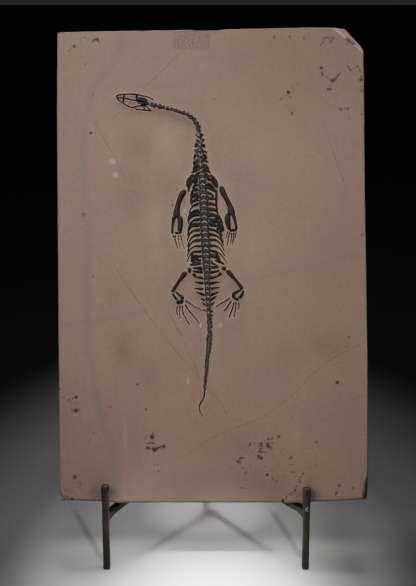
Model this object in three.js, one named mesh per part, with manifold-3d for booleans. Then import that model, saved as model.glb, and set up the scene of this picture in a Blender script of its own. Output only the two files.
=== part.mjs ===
// Fossil marine reptile, seen from above, raised on a hand-cut mudstone slab.
// The slab leans back in a wrought-iron easel of two front posts, two arms and a rear strut.
// Millimetres, +Z up, +Y to the back. The origin is on the table, at the middle of the outline.
import * as THREE from 'three';
import { mergeVertices } from 'three/addons/utils/BufferGeometryUtils.js';
import Module from 'manifold-3d';

const wasm = await Module();
wasm.setup();

// ---------------------------------------------------------------- driving dimensions

const SLAB_THICKNESS = 16;
const SLAB_LEAN = THREE.MathUtils.degToRad(15);
const SLAB_EDGE_WEAR = 1;
const SLAB_SILL_HEIGHT = 56;

// A bone lies this far off the face, and pieces that meet stay this far apart.
const SEAT_GAP = 0.3;
const VERTEX_MERGE = 1e-4;

// Heights of the bones above their seat on the face.
const LIMB_HEIGHT = 2.2;
const COLUMN_HEIGHT = 2.3;
const GIRDLE_HEIGHT = 1.8;
const RIB_HEIGHT = 1.4;
const SKULL_BAR_HEIGHT = 1.4;
const BRAINCASE_HEIGHT = 2;
const DIGIT_HEIGHT = 0.9;
const CRUSHED_HEIGHT = 1;

const BONE_BEVEL = 0.45;
const SMALL_BEVEL = 0.3;
const BEVEL_SHARE_OF_WIDTH = 0.3;
const BLUNT_END = 0.15;

const NECK_VERTEBRAE = 24;
const TRUNK_VERTEBRAE = 27;
const TAIL_VERTEBRAE = 18;
const VERTEBRA_LAP = 0.7;
const VERTEBRA_END_SHARE = 0.6;
const VERTEBRA_WIDEST_PLACE = -0.1;

const RIB_PAIRS = 16;
const RIB_TOP = 260.4;
const RIB_PITCH = 3.7;
const RIB_PITCH_GROWTH = 0.019;
const RIB_ROOT_WIDTH = 2.2;
const RIB_TIP_WIDTH = 0.9;
const RIB_ROOT_LIFT = 0.2;
const RIB_BEND = 1.15;

const NECK_RIB_PAIRS = 6;
const NECK_RIB_TOP = 290.5;
const NECK_RIB_PITCH = 4.3;
const NECK_RIB_SPREADS = [2.9, 5.6];
const NECK_RIB_DROPS = [3, 3.8];
const NECK_RIB_WIDTHS = [1.4, 1.5, 0.9];
const NECK_RIB_BEND = { spread: 0.8, drop: 0.4 };

const STAND_SHIFT = -5.05;
const BAR = 6;
const POST_SPREAD = 159.9;
const LEFT_POST_HEIGHT = 73.6;
const RIGHT_POST_HEIGHT = 71.4;
const POST_FLARE = 0.35;
const POST_FLARE_LENGTH = 7;
const STRUT_TOP_HEIGHT = 205;
const STRUT_FOOT_DEPTH = 132.4;
const LEFT_ARM_RISE = 0.17;
const RIGHT_ARM_RISE = -0.03;
const ARM_FRONT_INSET = 1;
const ARM_END_SHARE_OF_DEPTH = 0.85;
const SLAB_POST_GAP = 0.35;
const SLAB_STRUT_GAP = 0.4;

const HALF_BAR = BAR / 2;
const SLAB_FRONT_DEPTH = HALF_BAR + SLAB_POST_GAP;
const FRONT_EXTENT = HALF_BAR + POST_FLARE;
const SLAB_BACK_DEPTH = SLAB_FRONT_DEPTH + SLAB_THICKNESS / Math.cos(SLAB_LEAN);
const STRUT_TOP_DEPTH =
  SLAB_BACK_DEPTH + (STRUT_TOP_HEIGHT - SLAB_SILL_HEIGHT) * Math.tan(SLAB_LEAN) + SLAB_STRUT_GAP;
const STRUT_SLANT = Math.atan2(STRUT_FOOT_DEPTH - STRUT_TOP_DEPTH, STRUT_TOP_HEIGHT);

// ---------------------------------------------------------------- finishes

const mudstone = new THREE.MeshStandardMaterial({ color: 0x857065, roughness: 0.85, metalness: 0 });
const fossilBone = new THREE.MeshStandardMaterial({ color: 0x2d2a26, roughness: 0.45, metalness: 0 });
const wroughtIron = new THREE.MeshStandardMaterial({ color: 0x262420, roughness: 0.5, metalness: 0.8 });

// ---------------------------------------------------------------- outlines on the face: [right, up]

const SLAB_OUTLINE = [
  [-124.0, 375.0],
  [-122.6, 375.9],
  [-97.9, 376.6],
  [-65.9, 377.2],
  [-17.1, 377.8],
  [-13.0, 377.2],
  [5.0, 377.4],
  [9.3, 378.2],
  [38.1, 378.9],
  [70.1, 379.8],
  [106.1, 379.5],
  [111.7, 373.2],
  [117.8, 366.4],
  [120.9, 360.7],
  [121.3, 345.0],
  [122.1, 252.4],
  [124.2, 119.6],
  [124.4, 26.0],
  [124.4, 8.4],
  [123.7, 2.8],
  [98.9, 1.3],
  [80.0, 0.8],
  [71.0, 0.0],
  [-78.0, 0.0],
  [-88.3, 2.0],
  [-112.3, 2.5],
  [-115.5, 3.6],
  [-120.3, 2.6],
  [-121.6, 9.2],
  [-122.6, 58.0],
  [-123.5, 190.0],
  [-124.4, 322.0]
];

// Broken corners: a point on the break at the face, the way out of the corner, and the slope.
const CORNER_BREAKS = [
  { right: 105.1, up: 372.3, outRight: 0.626, outUp: 0.78, slope: 45 },
  { right: 121.8, up: 14.0, outRight: 0.984, outUp: -0.18, slope: 55 }
];

const LEFT_GIRDLE = [
  [-15.5, 262.0],
  [-14.9, 260.8],
  [-16.8, 257.2],
  [-17.3, 254.3],
  [-18.3, 252.1],
  [-18.9, 249.2],
  [-19.0, 247.3],
  [-20.1, 247.3],
  [-20.1, 251.6],
  [-21.0, 254.5],
  [-20.0, 257.7],
  [-17.8, 260.6]
];

const RIGHT_GIRDLE = [
  [-1.4, 262.0],
  [1.6, 259.6],
  [3.9, 255.8],
  [3.6, 252.4],
  [3.8, 249.5],
  [2.8, 249.4],
  [2.0, 252.1],
  [0.4, 255.1],
  [-1.9, 257.5],
  [-2.4, 260.4]
];

const BRAINCASE = [
  [-60.8, 322.6],
  [-58.7, 322.9],
  [-55.5, 322.9],
  [-52.3, 321.8],
  [-50.2, 319.6],
  [-50.4, 317.7],
  [-53.4, 316.7],
  [-56.2, 316.9],
  [-56.6, 318.8],
  [-60.3, 319.0]
];

const LEFT_CARPUS = [
  [-30.2, 216.1],
  [-28.0, 216.5],
  [-27.0, 215.9],
  [-26.2, 216.2],
  [-24.9, 216.2],
  [-25.0, 215.4],
  [-26.4, 215.1],
  [-27.8, 214.6],
  [-29.8, 214.6]
];

const RIGHT_CARPUS = [
  [14.9, 217.9],
  [16.2, 219.0],
  [17.6, 218.6],
  [18.0, 218.0],
  [17.1, 217.2],
  [15.5, 216.9]
];

const LEFT_TARSUS = [
  [-28.4, 160.6],
  [-27.2, 161.8],
  [-25.6, 161.2],
  [-24.5, 162.1],
  [-23.0, 162.1],
  [-22.6, 160.9],
  [-23.7, 159.7],
  [-25.6, 159.0],
  [-27.5, 159.1]
];

const RIGHT_TARSUS = [
  [15.5, 164.9],
  [16.3, 165.2],
  [17.6, 164.5],
  [19.4, 163.6],
  [20.3, 162.8],
  [19.5, 161.7],
  [17.9, 162.0],
  [16.1, 163.6]
];

// Ribs pressed flat against each other, and what the belly held.
const CRUSHED_RIBS = [
  [
    [-1.1, 234.8],
    [3.7, 235.2],
    [6.4, 230.8],
    [8.2, 224.4],
    [8.9, 217.2],
    [8.2, 213.6],
    [5.3, 215.6],
    [0.5, 221.2],
    [-1.5, 227.6]
  ],
  [
    [-16.9, 200.4],
    [-13.1, 201.4],
    [-8.9, 200.4],
    [-8.7, 190.8],
    [-11.5, 189.2],
    [-15.9, 188.6],
    [-19.4, 189.0],
    [-19.2, 191.4],
    [-17.0, 191.9]
  ],
  [
    [-1.7, 201.2],
    [2.5, 201.6],
    [5.3, 198.0],
    [6.9, 194.0],
    [9.6, 193.0],
    [9.5, 190.3],
    [7.5, 189.5],
    [4.2, 191.6],
    [0.5, 194.4],
    [-1.7, 195.6]
  ]
];

// ---------------------------------------------------------------- bones along a line: [right, up, width]

const SKULL_BARS = [
  [
    [-76.6, 324.2, 1.3],
    [-75.4, 325.7, 1.1],
    [-72.3, 326.3, 0.9],
    [-64.7, 326.5, 0.9],
    [-60.5, 326.1, 1.5],
    [-55.5, 325.0, 1.0],
    [-50.7, 323.9, 0.8],
    [-46.9, 322.0, 1.2]
  ],
  [
    [-76.6, 324.2, 1.3],
    [-75.1, 321.5, 1.0],
    [-70.7, 318.6, 1.0],
    [-65.9, 316.0, 1.0],
    [-63.4, 315.2, 1.2],
    [-61.4, 316.6, 1.0],
    [-55.2, 317.2, 1.3]
  ],
  [
    [-76.2, 323.6, 1.1],
    [-72.9, 323.2, 0.9],
    [-70.9, 323.6, 1.2],
    [-64.7, 321.8, 1.0],
    [-59.9, 320.7, 1.1]
  ],
  [
    [-70.5, 326.1, 0.8],
    [-70.5, 324.4, 1.0],
    [-71.4, 321.8, 1.0],
    [-71.3, 319.2, 0.8]
  ],
  [
    [-60.5, 326.1, 1.6],
    [-60.7, 323.6, 1.1],
    [-60.5, 321.8, 1.4]
  ],
  [
    [-61.7, 314.5, 0.9],
    [-56.7, 313.7, 0.8],
    [-54.2, 313.5, 1.2],
    [-51.5, 313.0, 0.8],
    [-49.1, 313.3, 1.6]
  ],
  [
    [-55.0, 317.5, 1.3],
    [-54.5, 315.4, 0.7],
    [-54.3, 313.5, 1.0]
  ],
  [
    [-53.8, 317.7, 1.4],
    [-52.1, 315.6, 0.8],
    [-49.3, 313.3, 1.0]
  ]
];

const NECK_LINE = [
  [-48.2, 318.3, 1.9],
  [-40.7, 316.4, 2.2],
  [-32.7, 314.4, 2.2],
  [-26.3, 312.1, 2.2],
  [-20.0, 309.7, 2.4],
  [-15.2, 306.1, 2.7],
  [-12.2, 301.2, 3.2],
  [-11.0, 295.2, 3.4],
  [-10.3, 288.0, 3.8],
  [-10.1, 278.8, 4.2],
  [-9.4, 269.2, 4.5],
  [-9.0, 264.9, 4.6]
];

const TRUNK_LINE = [
  [-8.8, 262.3, 6.1],
  [-8.0, 256.4, 6.2],
  [-7.0, 239.2, 6.7],
  [-6.5, 226.0, 6.9],
  [-5.8, 211.6, 7.0],
  [-5.1, 197.2, 7.0],
  [-4.5, 183.1, 6.7],
  [-4.0, 170.0, 5.6],
  [-3.4, 158.8, 3.9],
  [-3.0, 148.4, 3.2]
];

const TAIL_LINE = [
  [-2.8, 146.3, 3.2],
  [-2.0, 141.2, 3.4],
  [-1.9, 138.0, 2.8],
  [-2.6, 134.0, 3.5],
  [-3.0, 127.6, 3.7],
  [-3.4, 122.0, 3.2],
  [-4.5, 114.0, 2.6],
  [-5.0, 106.0, 2.1],
  [-6.1, 98.0, 1.5],
  [-6.4, 90.0, 1.2]
];

const TAIL_END = [
  [-6.4, 91.0, 1.1],
  [-6.3, 85.2, 1.0],
  [-7.5, 82.5, 1.0],
  [-9.4, 80.7, 1.2],
  [-10.4, 78.0, 1.0],
  [-10.9, 75.8, 0.8],
  [-10.1, 73.5, 0.7],
  [-7.4, 68.4, 0.6]
];

const LIMB_BONES = {
  humerus_left: [
    [-21.9, 249.1, 3.0],
    [-23.5, 247.7, 4.4],
    [-24.9, 245.2, 4.0],
    [-26.3, 242.0, 3.4],
    [-27.4, 238.4, 3.4],
    [-28.3, 234.4, 3.8],
    [-28.6, 231.4, 4.9],
    [-28.6, 229.4, 5.5]
  ],
  radius_left: [
    [-26.2, 227.2, 3.4],
    [-25.4, 225.8, 3.9],
    [-25.4, 222.0, 3.7],
    [-25.8, 219.0, 3.6],
    [-26.0, 217.6, 3.2]
  ],
  ulna_left: [
    [-30.4, 227.0, 2.9],
    [-31.2, 225.2, 1.9],
    [-31.6, 222.0, 1.4],
    [-31.7, 218.8, 1.4],
    [-31.8, 215.3, 1.5]
  ],
  humerus_right: [
    [7.1, 252.1, 3.2],
    [7.7, 249.6, 4.3],
    [8.8, 246.8, 4.2],
    [10.7, 243.6, 3.5],
    [12.3, 240.8, 3.4],
    [13.7, 237.6, 3.6],
    [14.8, 234.4, 4.5],
    [15.1, 232.6, 5.3],
    [14.9, 231.0, 5.0]
  ],
  radius_right: [
    [12.3, 229.2, 2.7],
    [11.7, 227.6, 4.3],
    [11.8, 224.4, 4.2],
    [12.8, 221.2, 3.0],
    [13.5, 219.2, 2.1]
  ],
  ulna_right: [
    [16.4, 229.2, 2.6],
    [17.3, 227.4, 2.4],
    [18.3, 224.4, 1.5],
    [19.0, 221.2, 1.5],
    [19.1, 219.2, 1.6]
  ],
  femur_left: [
    [-21.7, 183.8, 3.4],
    [-23.0, 182.0, 3.7],
    [-25.2, 179.1, 2.7],
    [-27.4, 176.4, 2.1],
    [-29.4, 173.2, 2.2],
    [-31.0, 170.6, 2.6],
    [-31.8, 169.0, 2.7]
  ],
  tibia_left: [
    [-28.7, 168.1, 1.4],
    [-26.8, 166.3, 1.3],
    [-24.8, 164.8, 1.9],
    [-23.8, 164.0, 2.4]
  ],
  fibula_left: [
    [-31.5, 166.6, 1.2],
    [-30.0, 164.4, 1.4],
    [-28.9, 162.7, 1.3]
  ],
  femur_right: [
    [12.4, 185.0, 3.6],
    [13.8, 183.3, 3.7],
    [16.0, 180.7, 2.9],
    [18.4, 178.2, 2.6],
    [20.6, 175.4, 2.4],
    [22.4, 173.0, 2.7],
    [23.4, 171.6, 2.9]
  ],
  tibia_right: [
    [22.2, 169.4, 1.2],
    [20.1, 169.0, 1.4],
    [17.7, 167.8, 1.5],
    [16.5, 166.9, 2.0]
  ],
  fibula_right: [
    [24.5, 169.0, 1.4],
    [23.7, 166.8, 1.6],
    [22.2, 165.0, 1.6],
    [21.5, 164.2, 1.7]
  ]
};

const DIGITS = {
  finger_left: [
    [
      [-31.2, 213.8, 1.1],
      [-31.0, 211.8, 1.0]
    ],
    [
      [-29.8, 213.5, 1.1],
      [-29.9, 211.4, 1.0],
      [-29.4, 209.0, 1.0],
      [-27.9, 204.0, 0.6]
    ],
    [
      [-27.4, 213.8, 1.0],
      [-27.2, 211.6, 0.9],
      [-26.8, 208.4, 0.7],
      [-25.8, 203.2, 0.6]
    ],
    [
      [-25.6, 213.9, 1.0],
      [-24.9, 211.4, 0.9],
      [-24.0, 208.0, 0.7],
      [-22.9, 203.8, 0.6]
    ],
    [
      [-24.0, 214.6, 0.8],
      [-23.0, 212.6, 0.7]
    ]
  ],
  finger_right: [
    [
      [12.5, 217.0, 0.9],
      [11.3, 213.5, 0.8],
      [10.6, 210.4, 0.6]
    ],
    [
      [13.8, 216.5, 1.0],
      [12.8, 211.4, 1.0],
      [11.9, 206.3, 0.6]
    ],
    [
      [15.3, 215.7, 1.1],
      [15.2, 211.4, 1.0],
      [14.1, 207.1, 0.6]
    ],
    [
      [17.0, 216.1, 1.1],
      [16.8, 211.6, 1.0],
      [15.9, 206.3, 0.6]
    ],
    [
      [18.8, 216.9, 1.0],
      [18.6, 214.0, 1.0],
      [17.9, 211.1, 0.8]
    ]
  ],
  toe_left: [
    [
      [-21.5, 161.5, 1.3],
      [-19.1, 160.0, 1.3],
      [-16.6, 158.5, 1.2],
      [-14.3, 156.9, 1.0],
      [-9.4, 154.6, 1.0],
      [-7.6, 153.2, 0.8]
    ],
    [
      [-21.9, 158.5, 1.3],
      [-18.8, 153.5, 1.3],
      [-14.8, 149.1, 1.1],
      [-11.3, 145.1, 1.0],
      [-10.2, 142.6, 0.8]
    ],
    [
      [-23.9, 158.0, 1.2],
      [-23.9, 152.6, 1.1],
      [-22.4, 149.2, 1.0],
      [-20.2, 145.4, 1.0],
      [-17.7, 142.0, 0.9]
    ],
    [
      [-25.9, 157.8, 1.1],
      [-26.2, 151.8, 1.0],
      [-25.7, 146.5, 0.8]
    ],
    [
      [-27.7, 157.7, 1.1],
      [-28.6, 154.5, 1.1],
      [-27.9, 149.5, 0.7]
    ]
  ],
  toe_right: [
    [
      [14.2, 163.9, 1.3],
      [12.5, 162.6, 1.2],
      [8.9, 160.4, 1.1],
      [5.3, 158.3, 1.0],
      [2.4, 156.6, 0.8]
    ],
    [
      [15.2, 161.5, 1.3],
      [13.3, 158.8, 1.3],
      [11.4, 155.6, 1.2],
      [8.8, 152.9, 1.0]
    ],
    [
      [16.9, 160.2, 1.2],
      [16.6, 156.4, 1.1],
      [14.9, 152.4, 1.0],
      [13.0, 147.8, 0.9]
    ],
    [
      [18.6, 160.4, 1.1],
      [18.6, 155.6, 1.1],
      [17.9, 151.6, 1.0],
      [17.0, 148.4, 0.9]
    ],
    [
      [20.4, 160.2, 1.1],
      [21.1, 157.0, 1.1],
      [20.6, 153.8, 0.9]
    ]
  ]
};

// ---------------------------------------------------------------- spreads along the trunk

// How far the ribcage reaches to each side: [up, left edge, right edge].
const RIBCAGE = [
  [258, -13.2, -4.2],
  [254, -15.2, -1.4],
  [250, -16.7, 1.2],
  [246, -17.4, 2.6],
  [238, -17.5, 3.3],
  [232, -17.9, 4.4],
  [226, -19.2, 6.6],
  [220, -19.9, 8.4],
  [214, -20.2, 9.0],
  [206, -20.5, 9.4],
  [198, -20.7, 10.2],
  [190, -20.5, 11.2]
];

// How far a rib runs down the side before it ends: [up, drop].
const RIB_DROPS = [
  [261, 4.5],
  [252, 6.5],
  [240, 8.5],
  [226, 10],
  [210, 11],
  [200, 9.5]
];

// Side spines of the hip and tail: [root up, left tip right, left tip up, right tip right, right tip up].
const SIDE_SPINES = [
  [188.0, -15.3, 188.0, 5.2, 188.3],
  [184.8, -15.3, 185.0, 6.0, 185.2],
  [179.3, -14.6, 181.0, 5.6, 182.3],
  [175.5, -14.6, 176.2, 6.6, 176.2],
  [171.0, -14.6, 171.6, 6.2, 172.1],
  [166.1, -13.4, 168.6, 5.3, 168.4],
  [161.9, -9.6, 162.8, 3.7, 165.0],
  [157.8, -8.2, 159.9, 2.1, 160.1],
  [153.0, -6.2, 153.7, 0.5, 152.9]
];
const SIDE_SPINE_ROOT = 2.3;
const SIDE_SPINE_MIDDLE = 1.84;
const SIDE_SPINE_TIP = 0.5;

// Rounded ends of the hip bones: centre, and half their size across and along the slab.
const HIP_KNOBS = {
  ilium_left: { right: -18.4, up: 185.7, halfRight: 1.25, halfUp: 1.7 },
  ilium_right: { right: 9.2, up: 187.0, halfRight: 1.5, halfUp: 1.6 }
};
const SACRAL_KNOBS = [
  { right: -14.8, up: 182.2, halfRight: 1.7, halfUp: 1.3 },
  { right: 6.2, up: 183.0, halfRight: 1.5, halfUp: 1.2 }
];

// ---------------------------------------------------------------- solids

/** Turns a closed geometry into a solid that can be joined and cut. */
function solidOf(geometry) {
  const bare = geometry.clone();
  bare.deleteAttribute('normal');
  bare.deleteAttribute('uv');
  const merged = mergeVertices(bare, VERTEX_MERGE);
  const mesh = new wasm.Mesh({
    numProp: 3,
    vertProperties: new Float32Array(merged.attributes.position.array),
    triVerts: new Uint32Array(merged.index.array)
  });
  return new wasm.Manifold(mesh);
}

/** Gives a solid's surface back as a geometry. */
function geometryOf(solid) {
  const mesh = solid.getMesh();
  const geometry = new THREE.BufferGeometry();
  geometry.setAttribute('position', new THREE.BufferAttribute(new Float32Array(mesh.vertProperties), 3));
  geometry.setIndex(new THREE.BufferAttribute(new Uint32Array(mesh.triVerts), 1));
  geometry.computeVertexNormals();
  return geometry;
}

/** Joins overlapping geometries into one. */
function fuse(geometries) {
  const [first, ...others] = geometries.map(solidOf);
  return geometryOf(others.reduce((whole, piece) => whole.add(piece), first));
}

/** Cuts away what lies beyond a plane. */
function trim(geometry, point, normal) {
  const reach = 60;
  const block = new THREE.BoxGeometry(reach, reach, reach).translate(0, 0, reach / 2);
  const turn = new THREE.Quaternion().setFromUnitVectors(new THREE.Vector3(0, 0, 1), normal);
  block.applyQuaternion(turn);
  block.translate(point.x, point.y, point.z);
  return geometryOf(solidOf(geometry).subtract(solidOf(block)));
}

// ---------------------------------------------------------------- relief on the face

/** Value in a column of rows, at t from 0 for the first row to 1 for the last. */
function blendRows(rows, t, column) {
  const place = t * (rows.length - 1);
  const row = Math.min(Math.floor(place), rows.length - 2);
  return THREE.MathUtils.lerp(rows[row][column], rows[row + 1][column], place - row);
}

/** Value in a column of a table whose first column, a height, falls from row to row. */
function readTable(table, up, column) {
  const below = table.findIndex((row) => row[0] <= up);
  if (below === 0) {
    return table[0][column];
  }
  if (below < 0) {
    return table[table.length - 1][column];
  }
  const [high, low] = [table[below - 1], table[below]];
  const t = (up - high[0]) / (low[0] - high[0]);
  return THREE.MathUtils.lerp(high[column], low[column], t);
}

/** The smooth line through the middles of a bone's stations. */
function lineThrough(stations) {
  return new THREE.SplineCurve(stations.map(([right, up]) => new THREE.Vector2(right, up)));
}

/** The closed outline of a bone that runs along its stations. */
function boneOutline(stations) {
  const line = lineThrough(stations);
  const oneSide = [];
  const otherSide = [];
  const last = stations.length - 1;
  for (let i = 0; i <= last; i += 1) {
    const centre = line.getPoint(i / last);
    const across = line.getTangent(i / last).rotateAround(new THREE.Vector2(), Math.PI / 2);
    across.multiplyScalar(stations[i][2] / 2);
    oneSide.push(centre.clone().add(across));
    otherSide.unshift(centre.clone().sub(across));
  }
  const startTip = line.getPoint(0).addScaledVector(line.getTangent(0), -BLUNT_END * stations[0][2]);
  const endTip = line.getPoint(1).addScaledVector(line.getTangent(1), BLUNT_END * stations[last][2]);
  return new THREE.Shape([startTip, ...oneSide, endTip, ...otherSide]);
}

/** The closed outline through listed points. */
function plateOutline(points) {
  return new THREE.Shape(points.map(([right, up]) => new THREE.Vector2(right, up)));
}

/** Raises an outline from the face, with its edges bevelled if a bevel is given. */
function raise(outline, height, bevel = 0) {
  const geometry = new THREE.ExtrudeGeometry(outline, {
    depth: height - 2 * bevel,
    bevelEnabled: bevel > 0,
    bevelThickness: bevel,
    bevelSize: bevel,
    bevelOffset: -bevel,
    bevelSegments: 1
  });
  return geometry.translate(0, 0, SEAT_GAP + bevel);
}

/** A rounded knob, wider at its foot. */
function knob({ right, up, halfRight, halfUp }, height) {
  const crown = 0.6;
  const sides = 9;
  const geometry = new THREE.CylinderGeometry(crown, 1, height, sides).rotateX(Math.PI / 2);
  geometry.scale(halfRight, halfUp, 1);
  return geometry.translate(right, up, SEAT_GAP + height / 2);
}

/** A row of vertebrae along a line, each a waisted block that laps onto the next. */
function vertebrae(stations, count, height, bevel = 0) {
  const line = lineThrough(stations);
  const long = line.getLength() / count + VERTEBRA_LAP;
  const row = [];
  for (let i = 0; i < count; i += 1) {
    const t = line.getUtoTmapping((i + 0.5) / count);
    const half = blendRows(stations, t, 2) / 2;
    const halfEnd = VERTEBRA_END_SHARE * half;
    const widest = VERTEBRA_WIDEST_PLACE * long;
    const block = plateOutline([
      [-long / 2, -halfEnd],
      [widest, -half],
      [long / 2, -halfEnd],
      [long / 2, halfEnd],
      [widest, half],
      [-long / 2, halfEnd]
    ]);
    const centre = line.getPoint(t);
    const geometry = raise(block, height, bevel);
    geometry.rotateZ(line.getTangent(t).angle());
    row.push(geometry.translate(centre.x, centre.y, 0));
  }
  return row;
}

/** One rib: straight out from the column, then down the side of the cage. */
function rib(root, reach, drop) {
  const steps = 4;
  const stations = [];
  for (let i = 0; i <= steps; i += 1) {
    const angle = (i / steps) * (Math.PI / 2);
    const right = root.x + (reach - root.x) * Math.sin(angle);
    const up = root.y + RIB_ROOT_LIFT - drop * (1 - Math.cos(angle)) ** RIB_BEND;
    stations.push([right, up, THREE.MathUtils.lerp(RIB_ROOT_WIDTH, RIB_TIP_WIDTH, i / steps)]);
  }
  return raise(boneOutline(stations), RIB_HEIGHT);
}

/** All the rib pairs of the trunk. */
function trunkRibs() {
  const ribs = [];
  for (let i = 0; i < RIB_PAIRS; i += 1) {
    const up = RIB_TOP - RIB_PITCH * i - RIB_PITCH_GROWTH * i * i;
    const drop = readTable(RIB_DROPS, up, 1);
    const middle = columnMiddle(up);
    for (const side of [1, 2]) {
      const reach = readTable(RIBCAGE, up - 0.5 * drop, side);
      ribs.push(rib(new THREE.Vector2(middle, up), reach, drop));
    }
  }
  return ribs;
}

/** Where the middle of the trunk's column is at a height on the face. */
function columnMiddle(up) {
  return readTable(TRUNK_LINE.map(([right, high]) => [high, right]), up, 1);
}

/** The short ribs at the root of the neck, which spread towards the shoulders. */
function neckRibs() {
  const ribs = [];
  const [rootWidth, bendWidth, tipWidth] = NECK_RIB_WIDTHS;
  for (let i = 0; i < NECK_RIB_PAIRS; i += 1) {
    const up = NECK_RIB_TOP - NECK_RIB_PITCH * i;
    const spread = THREE.MathUtils.lerp(...NECK_RIB_SPREADS, i / (NECK_RIB_PAIRS - 1));
    const drop = THREE.MathUtils.lerp(...NECK_RIB_DROPS, i / (NECK_RIB_PAIRS - 1));
    const middle = readTable(NECK_LINE.map(([right, high]) => [high, right]), up, 1);
    for (const way of [-1, 1]) {
      const stations = [
        [middle + way, up, rootWidth],
        [middle + way * spread * NECK_RIB_BEND.spread, up - drop * NECK_RIB_BEND.drop, bendWidth],
        [middle + way * spread, up - drop, tipWidth]
      ];
      ribs.push(raise(boneOutline(stations), RIB_HEIGHT));
    }
  }
  return ribs;
}

/** The side spines behind the hip, tapering to their tips. */
function sideSpines() {
  const spines = [];
  for (const [rootUp, leftRight, leftUp, rightRight, rightUp] of SIDE_SPINES) {
    const middle = columnMiddle(rootUp);
    for (const [tipRight, tipUp] of [[leftRight, leftUp], [rightRight, rightUp]]) {
      const stations = [
        [middle, rootUp, SIDE_SPINE_ROOT],
        [(middle + tipRight) / 2, (rootUp + tipUp) / 2, SIDE_SPINE_MIDDLE],
        [tipRight, tipUp, SIDE_SPINE_TIP]
      ];
      spines.push(raise(boneOutline(stations), RIB_HEIGHT));
    }
  }
  return spines;
}

// ---------------------------------------------------------------- the slab

/** The slab: a worn outline, broken at two corners. Its face is at zero and its back behind it. */
function slab() {
  let geometry = new THREE.ExtrudeGeometry(plateOutline(SLAB_OUTLINE), {
    depth: SLAB_THICKNESS - 2 * SLAB_EDGE_WEAR,
    bevelEnabled: true,
    bevelThickness: SLAB_EDGE_WEAR,
    bevelSize: SLAB_EDGE_WEAR,
    bevelOffset: -SLAB_EDGE_WEAR,
    bevelSegments: 1
  });
  geometry.translate(0, 0, SLAB_EDGE_WEAR - SLAB_THICKNESS);
  for (const { right, up, outRight, outUp, slope } of CORNER_BREAKS) {
    const tilt = THREE.MathUtils.degToRad(slope);
    const normal = new THREE.Vector3(outRight, outUp, 0).normalize().multiplyScalar(Math.sin(tilt));
    normal.z = Math.cos(tilt);
    geometry = trim(geometry, new THREE.Vector3(right, up, 0), normal.normalize());
  }
  return geometry;
}

// ---------------------------------------------------------------- the stand

/** An upright square bar with hammered, flared ends. */
function post(height) {
  const corner = Math.SQRT2;
  const wide = (HALF_BAR + POST_FLARE) * corner;
  const slim = HALF_BAR * corner;
  const chamfer = 1.2;
  const profile = [
    [0, 0],
    [wide - chamfer, 0],
    [wide, chamfer],
    [slim, POST_FLARE_LENGTH],
    [slim, height - POST_FLARE_LENGTH],
    [wide, height - 2 * chamfer],
    [wide - chamfer, height - 0.5 * chamfer],
    [wide - 2 * chamfer, height],
    [0, height]
  ];
  const lathe = new THREE.LatheGeometry(profile.map(([out, up]) => new THREE.Vector2(out, up)), 4);
  return lathe.rotateY(Math.PI / 4).rotateX(Math.PI / 2);
}

/** Where the front of the rear strut is, at a height. */
function strutFront(height) {
  return THREE.MathUtils.lerp(STRUT_FOOT_DEPTH, STRUT_TOP_DEPTH, height / STRUT_TOP_HEIGHT);
}

/** The rear strut: a square bar from the table to the back of the slab. */
function strut() {
  const backDepth = STRUT_TOP_DEPTH + BAR * Math.cos(STRUT_SLANT);
  const backHeight = STRUT_TOP_HEIGHT + BAR * Math.sin(STRUT_SLANT);
  const outline = new THREE.Shape([
    new THREE.Vector2(STRUT_FOOT_DEPTH, 0),
    new THREE.Vector2(STRUT_FOOT_DEPTH + BAR / Math.cos(STRUT_SLANT), 0),
    new THREE.Vector2(backDepth, backHeight),
    new THREE.Vector2(STRUT_TOP_DEPTH, STRUT_TOP_HEIGHT)
  ]);
  const geometry = new THREE.ExtrudeGeometry(outline, { depth: BAR, bevelEnabled: false });
  geometry.translate(0, 0, -HALF_BAR);
  return geometry.rotateX(Math.PI / 2).rotateZ(Math.PI / 2);
}

/** Height of an arm's upper face at a depth: it carries the slab's lower back edge. */
function armTop(rise, depth) {
  const carryOut = SLAB_THICKNESS - SLAB_EDGE_WEAR;
  const carryDepth = SLAB_FRONT_DEPTH + carryOut * Math.cos(SLAB_LEAN);
  const carryHeight = SLAB_SILL_HEIGHT - carryOut * Math.sin(SLAB_LEAN);
  return carryHeight - SEAT_GAP + rise * (depth - carryDepth);
}

/** One arm, from the back of a post in to the side of the strut; way is -1 on the left and 1 on the right. */
function arm(way, rise) {
  const frontDepth = HALF_BAR + SEAT_GAP;
  const frontMiddle = POST_SPREAD / 2 - ARM_FRONT_INSET;
  const rearRight = HALF_BAR + SEAT_GAP;
  const rearHeight = armTop(rise, ARM_END_SHARE_OF_DEPTH * STRUT_FOOT_DEPTH);
  const rearDepth = strutFront(rearHeight) + HALF_BAR;
  const angle = Math.atan2(rearDepth - frontDepth, frontMiddle - rearRight);
  const halfFront = HALF_BAR / Math.sin(angle);
  const halfRear = HALF_BAR / Math.cos(angle);
  const plan = new THREE.Shape([
    new THREE.Vector2(way * (frontMiddle - halfFront), frontDepth),
    new THREE.Vector2(way * (frontMiddle + halfFront), frontDepth),
    new THREE.Vector2(way * rearRight, rearDepth + halfRear),
    new THREE.Vector2(way * rearRight, rearDepth - halfRear)
  ]);
  const geometry = new THREE.ExtrudeGeometry(plan, { depth: BAR, bevelEnabled: false });
  const lean = new THREE.Matrix4().set(1, 0, 0, 0, 0, 1, 0, 0, 0, rise, 1, 0, 0, 0, 0, 1);
  geometry.applyMatrix4(lean);
  return geometry.translate(0, 0, armTop(rise, 0) - BAR);
}

// ---------------------------------------------------------------- assembly

const fossilPlate = new THREE.Group();
const face = new THREE.Group();
const stand = new THREE.Group();

face.rotation.x = Math.PI / 2 - SLAB_LEAN;
face.position.set(0, SLAB_FRONT_DEPTH, SLAB_SILL_HEIGHT);
stand.position.x = STAND_SHIFT;

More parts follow.
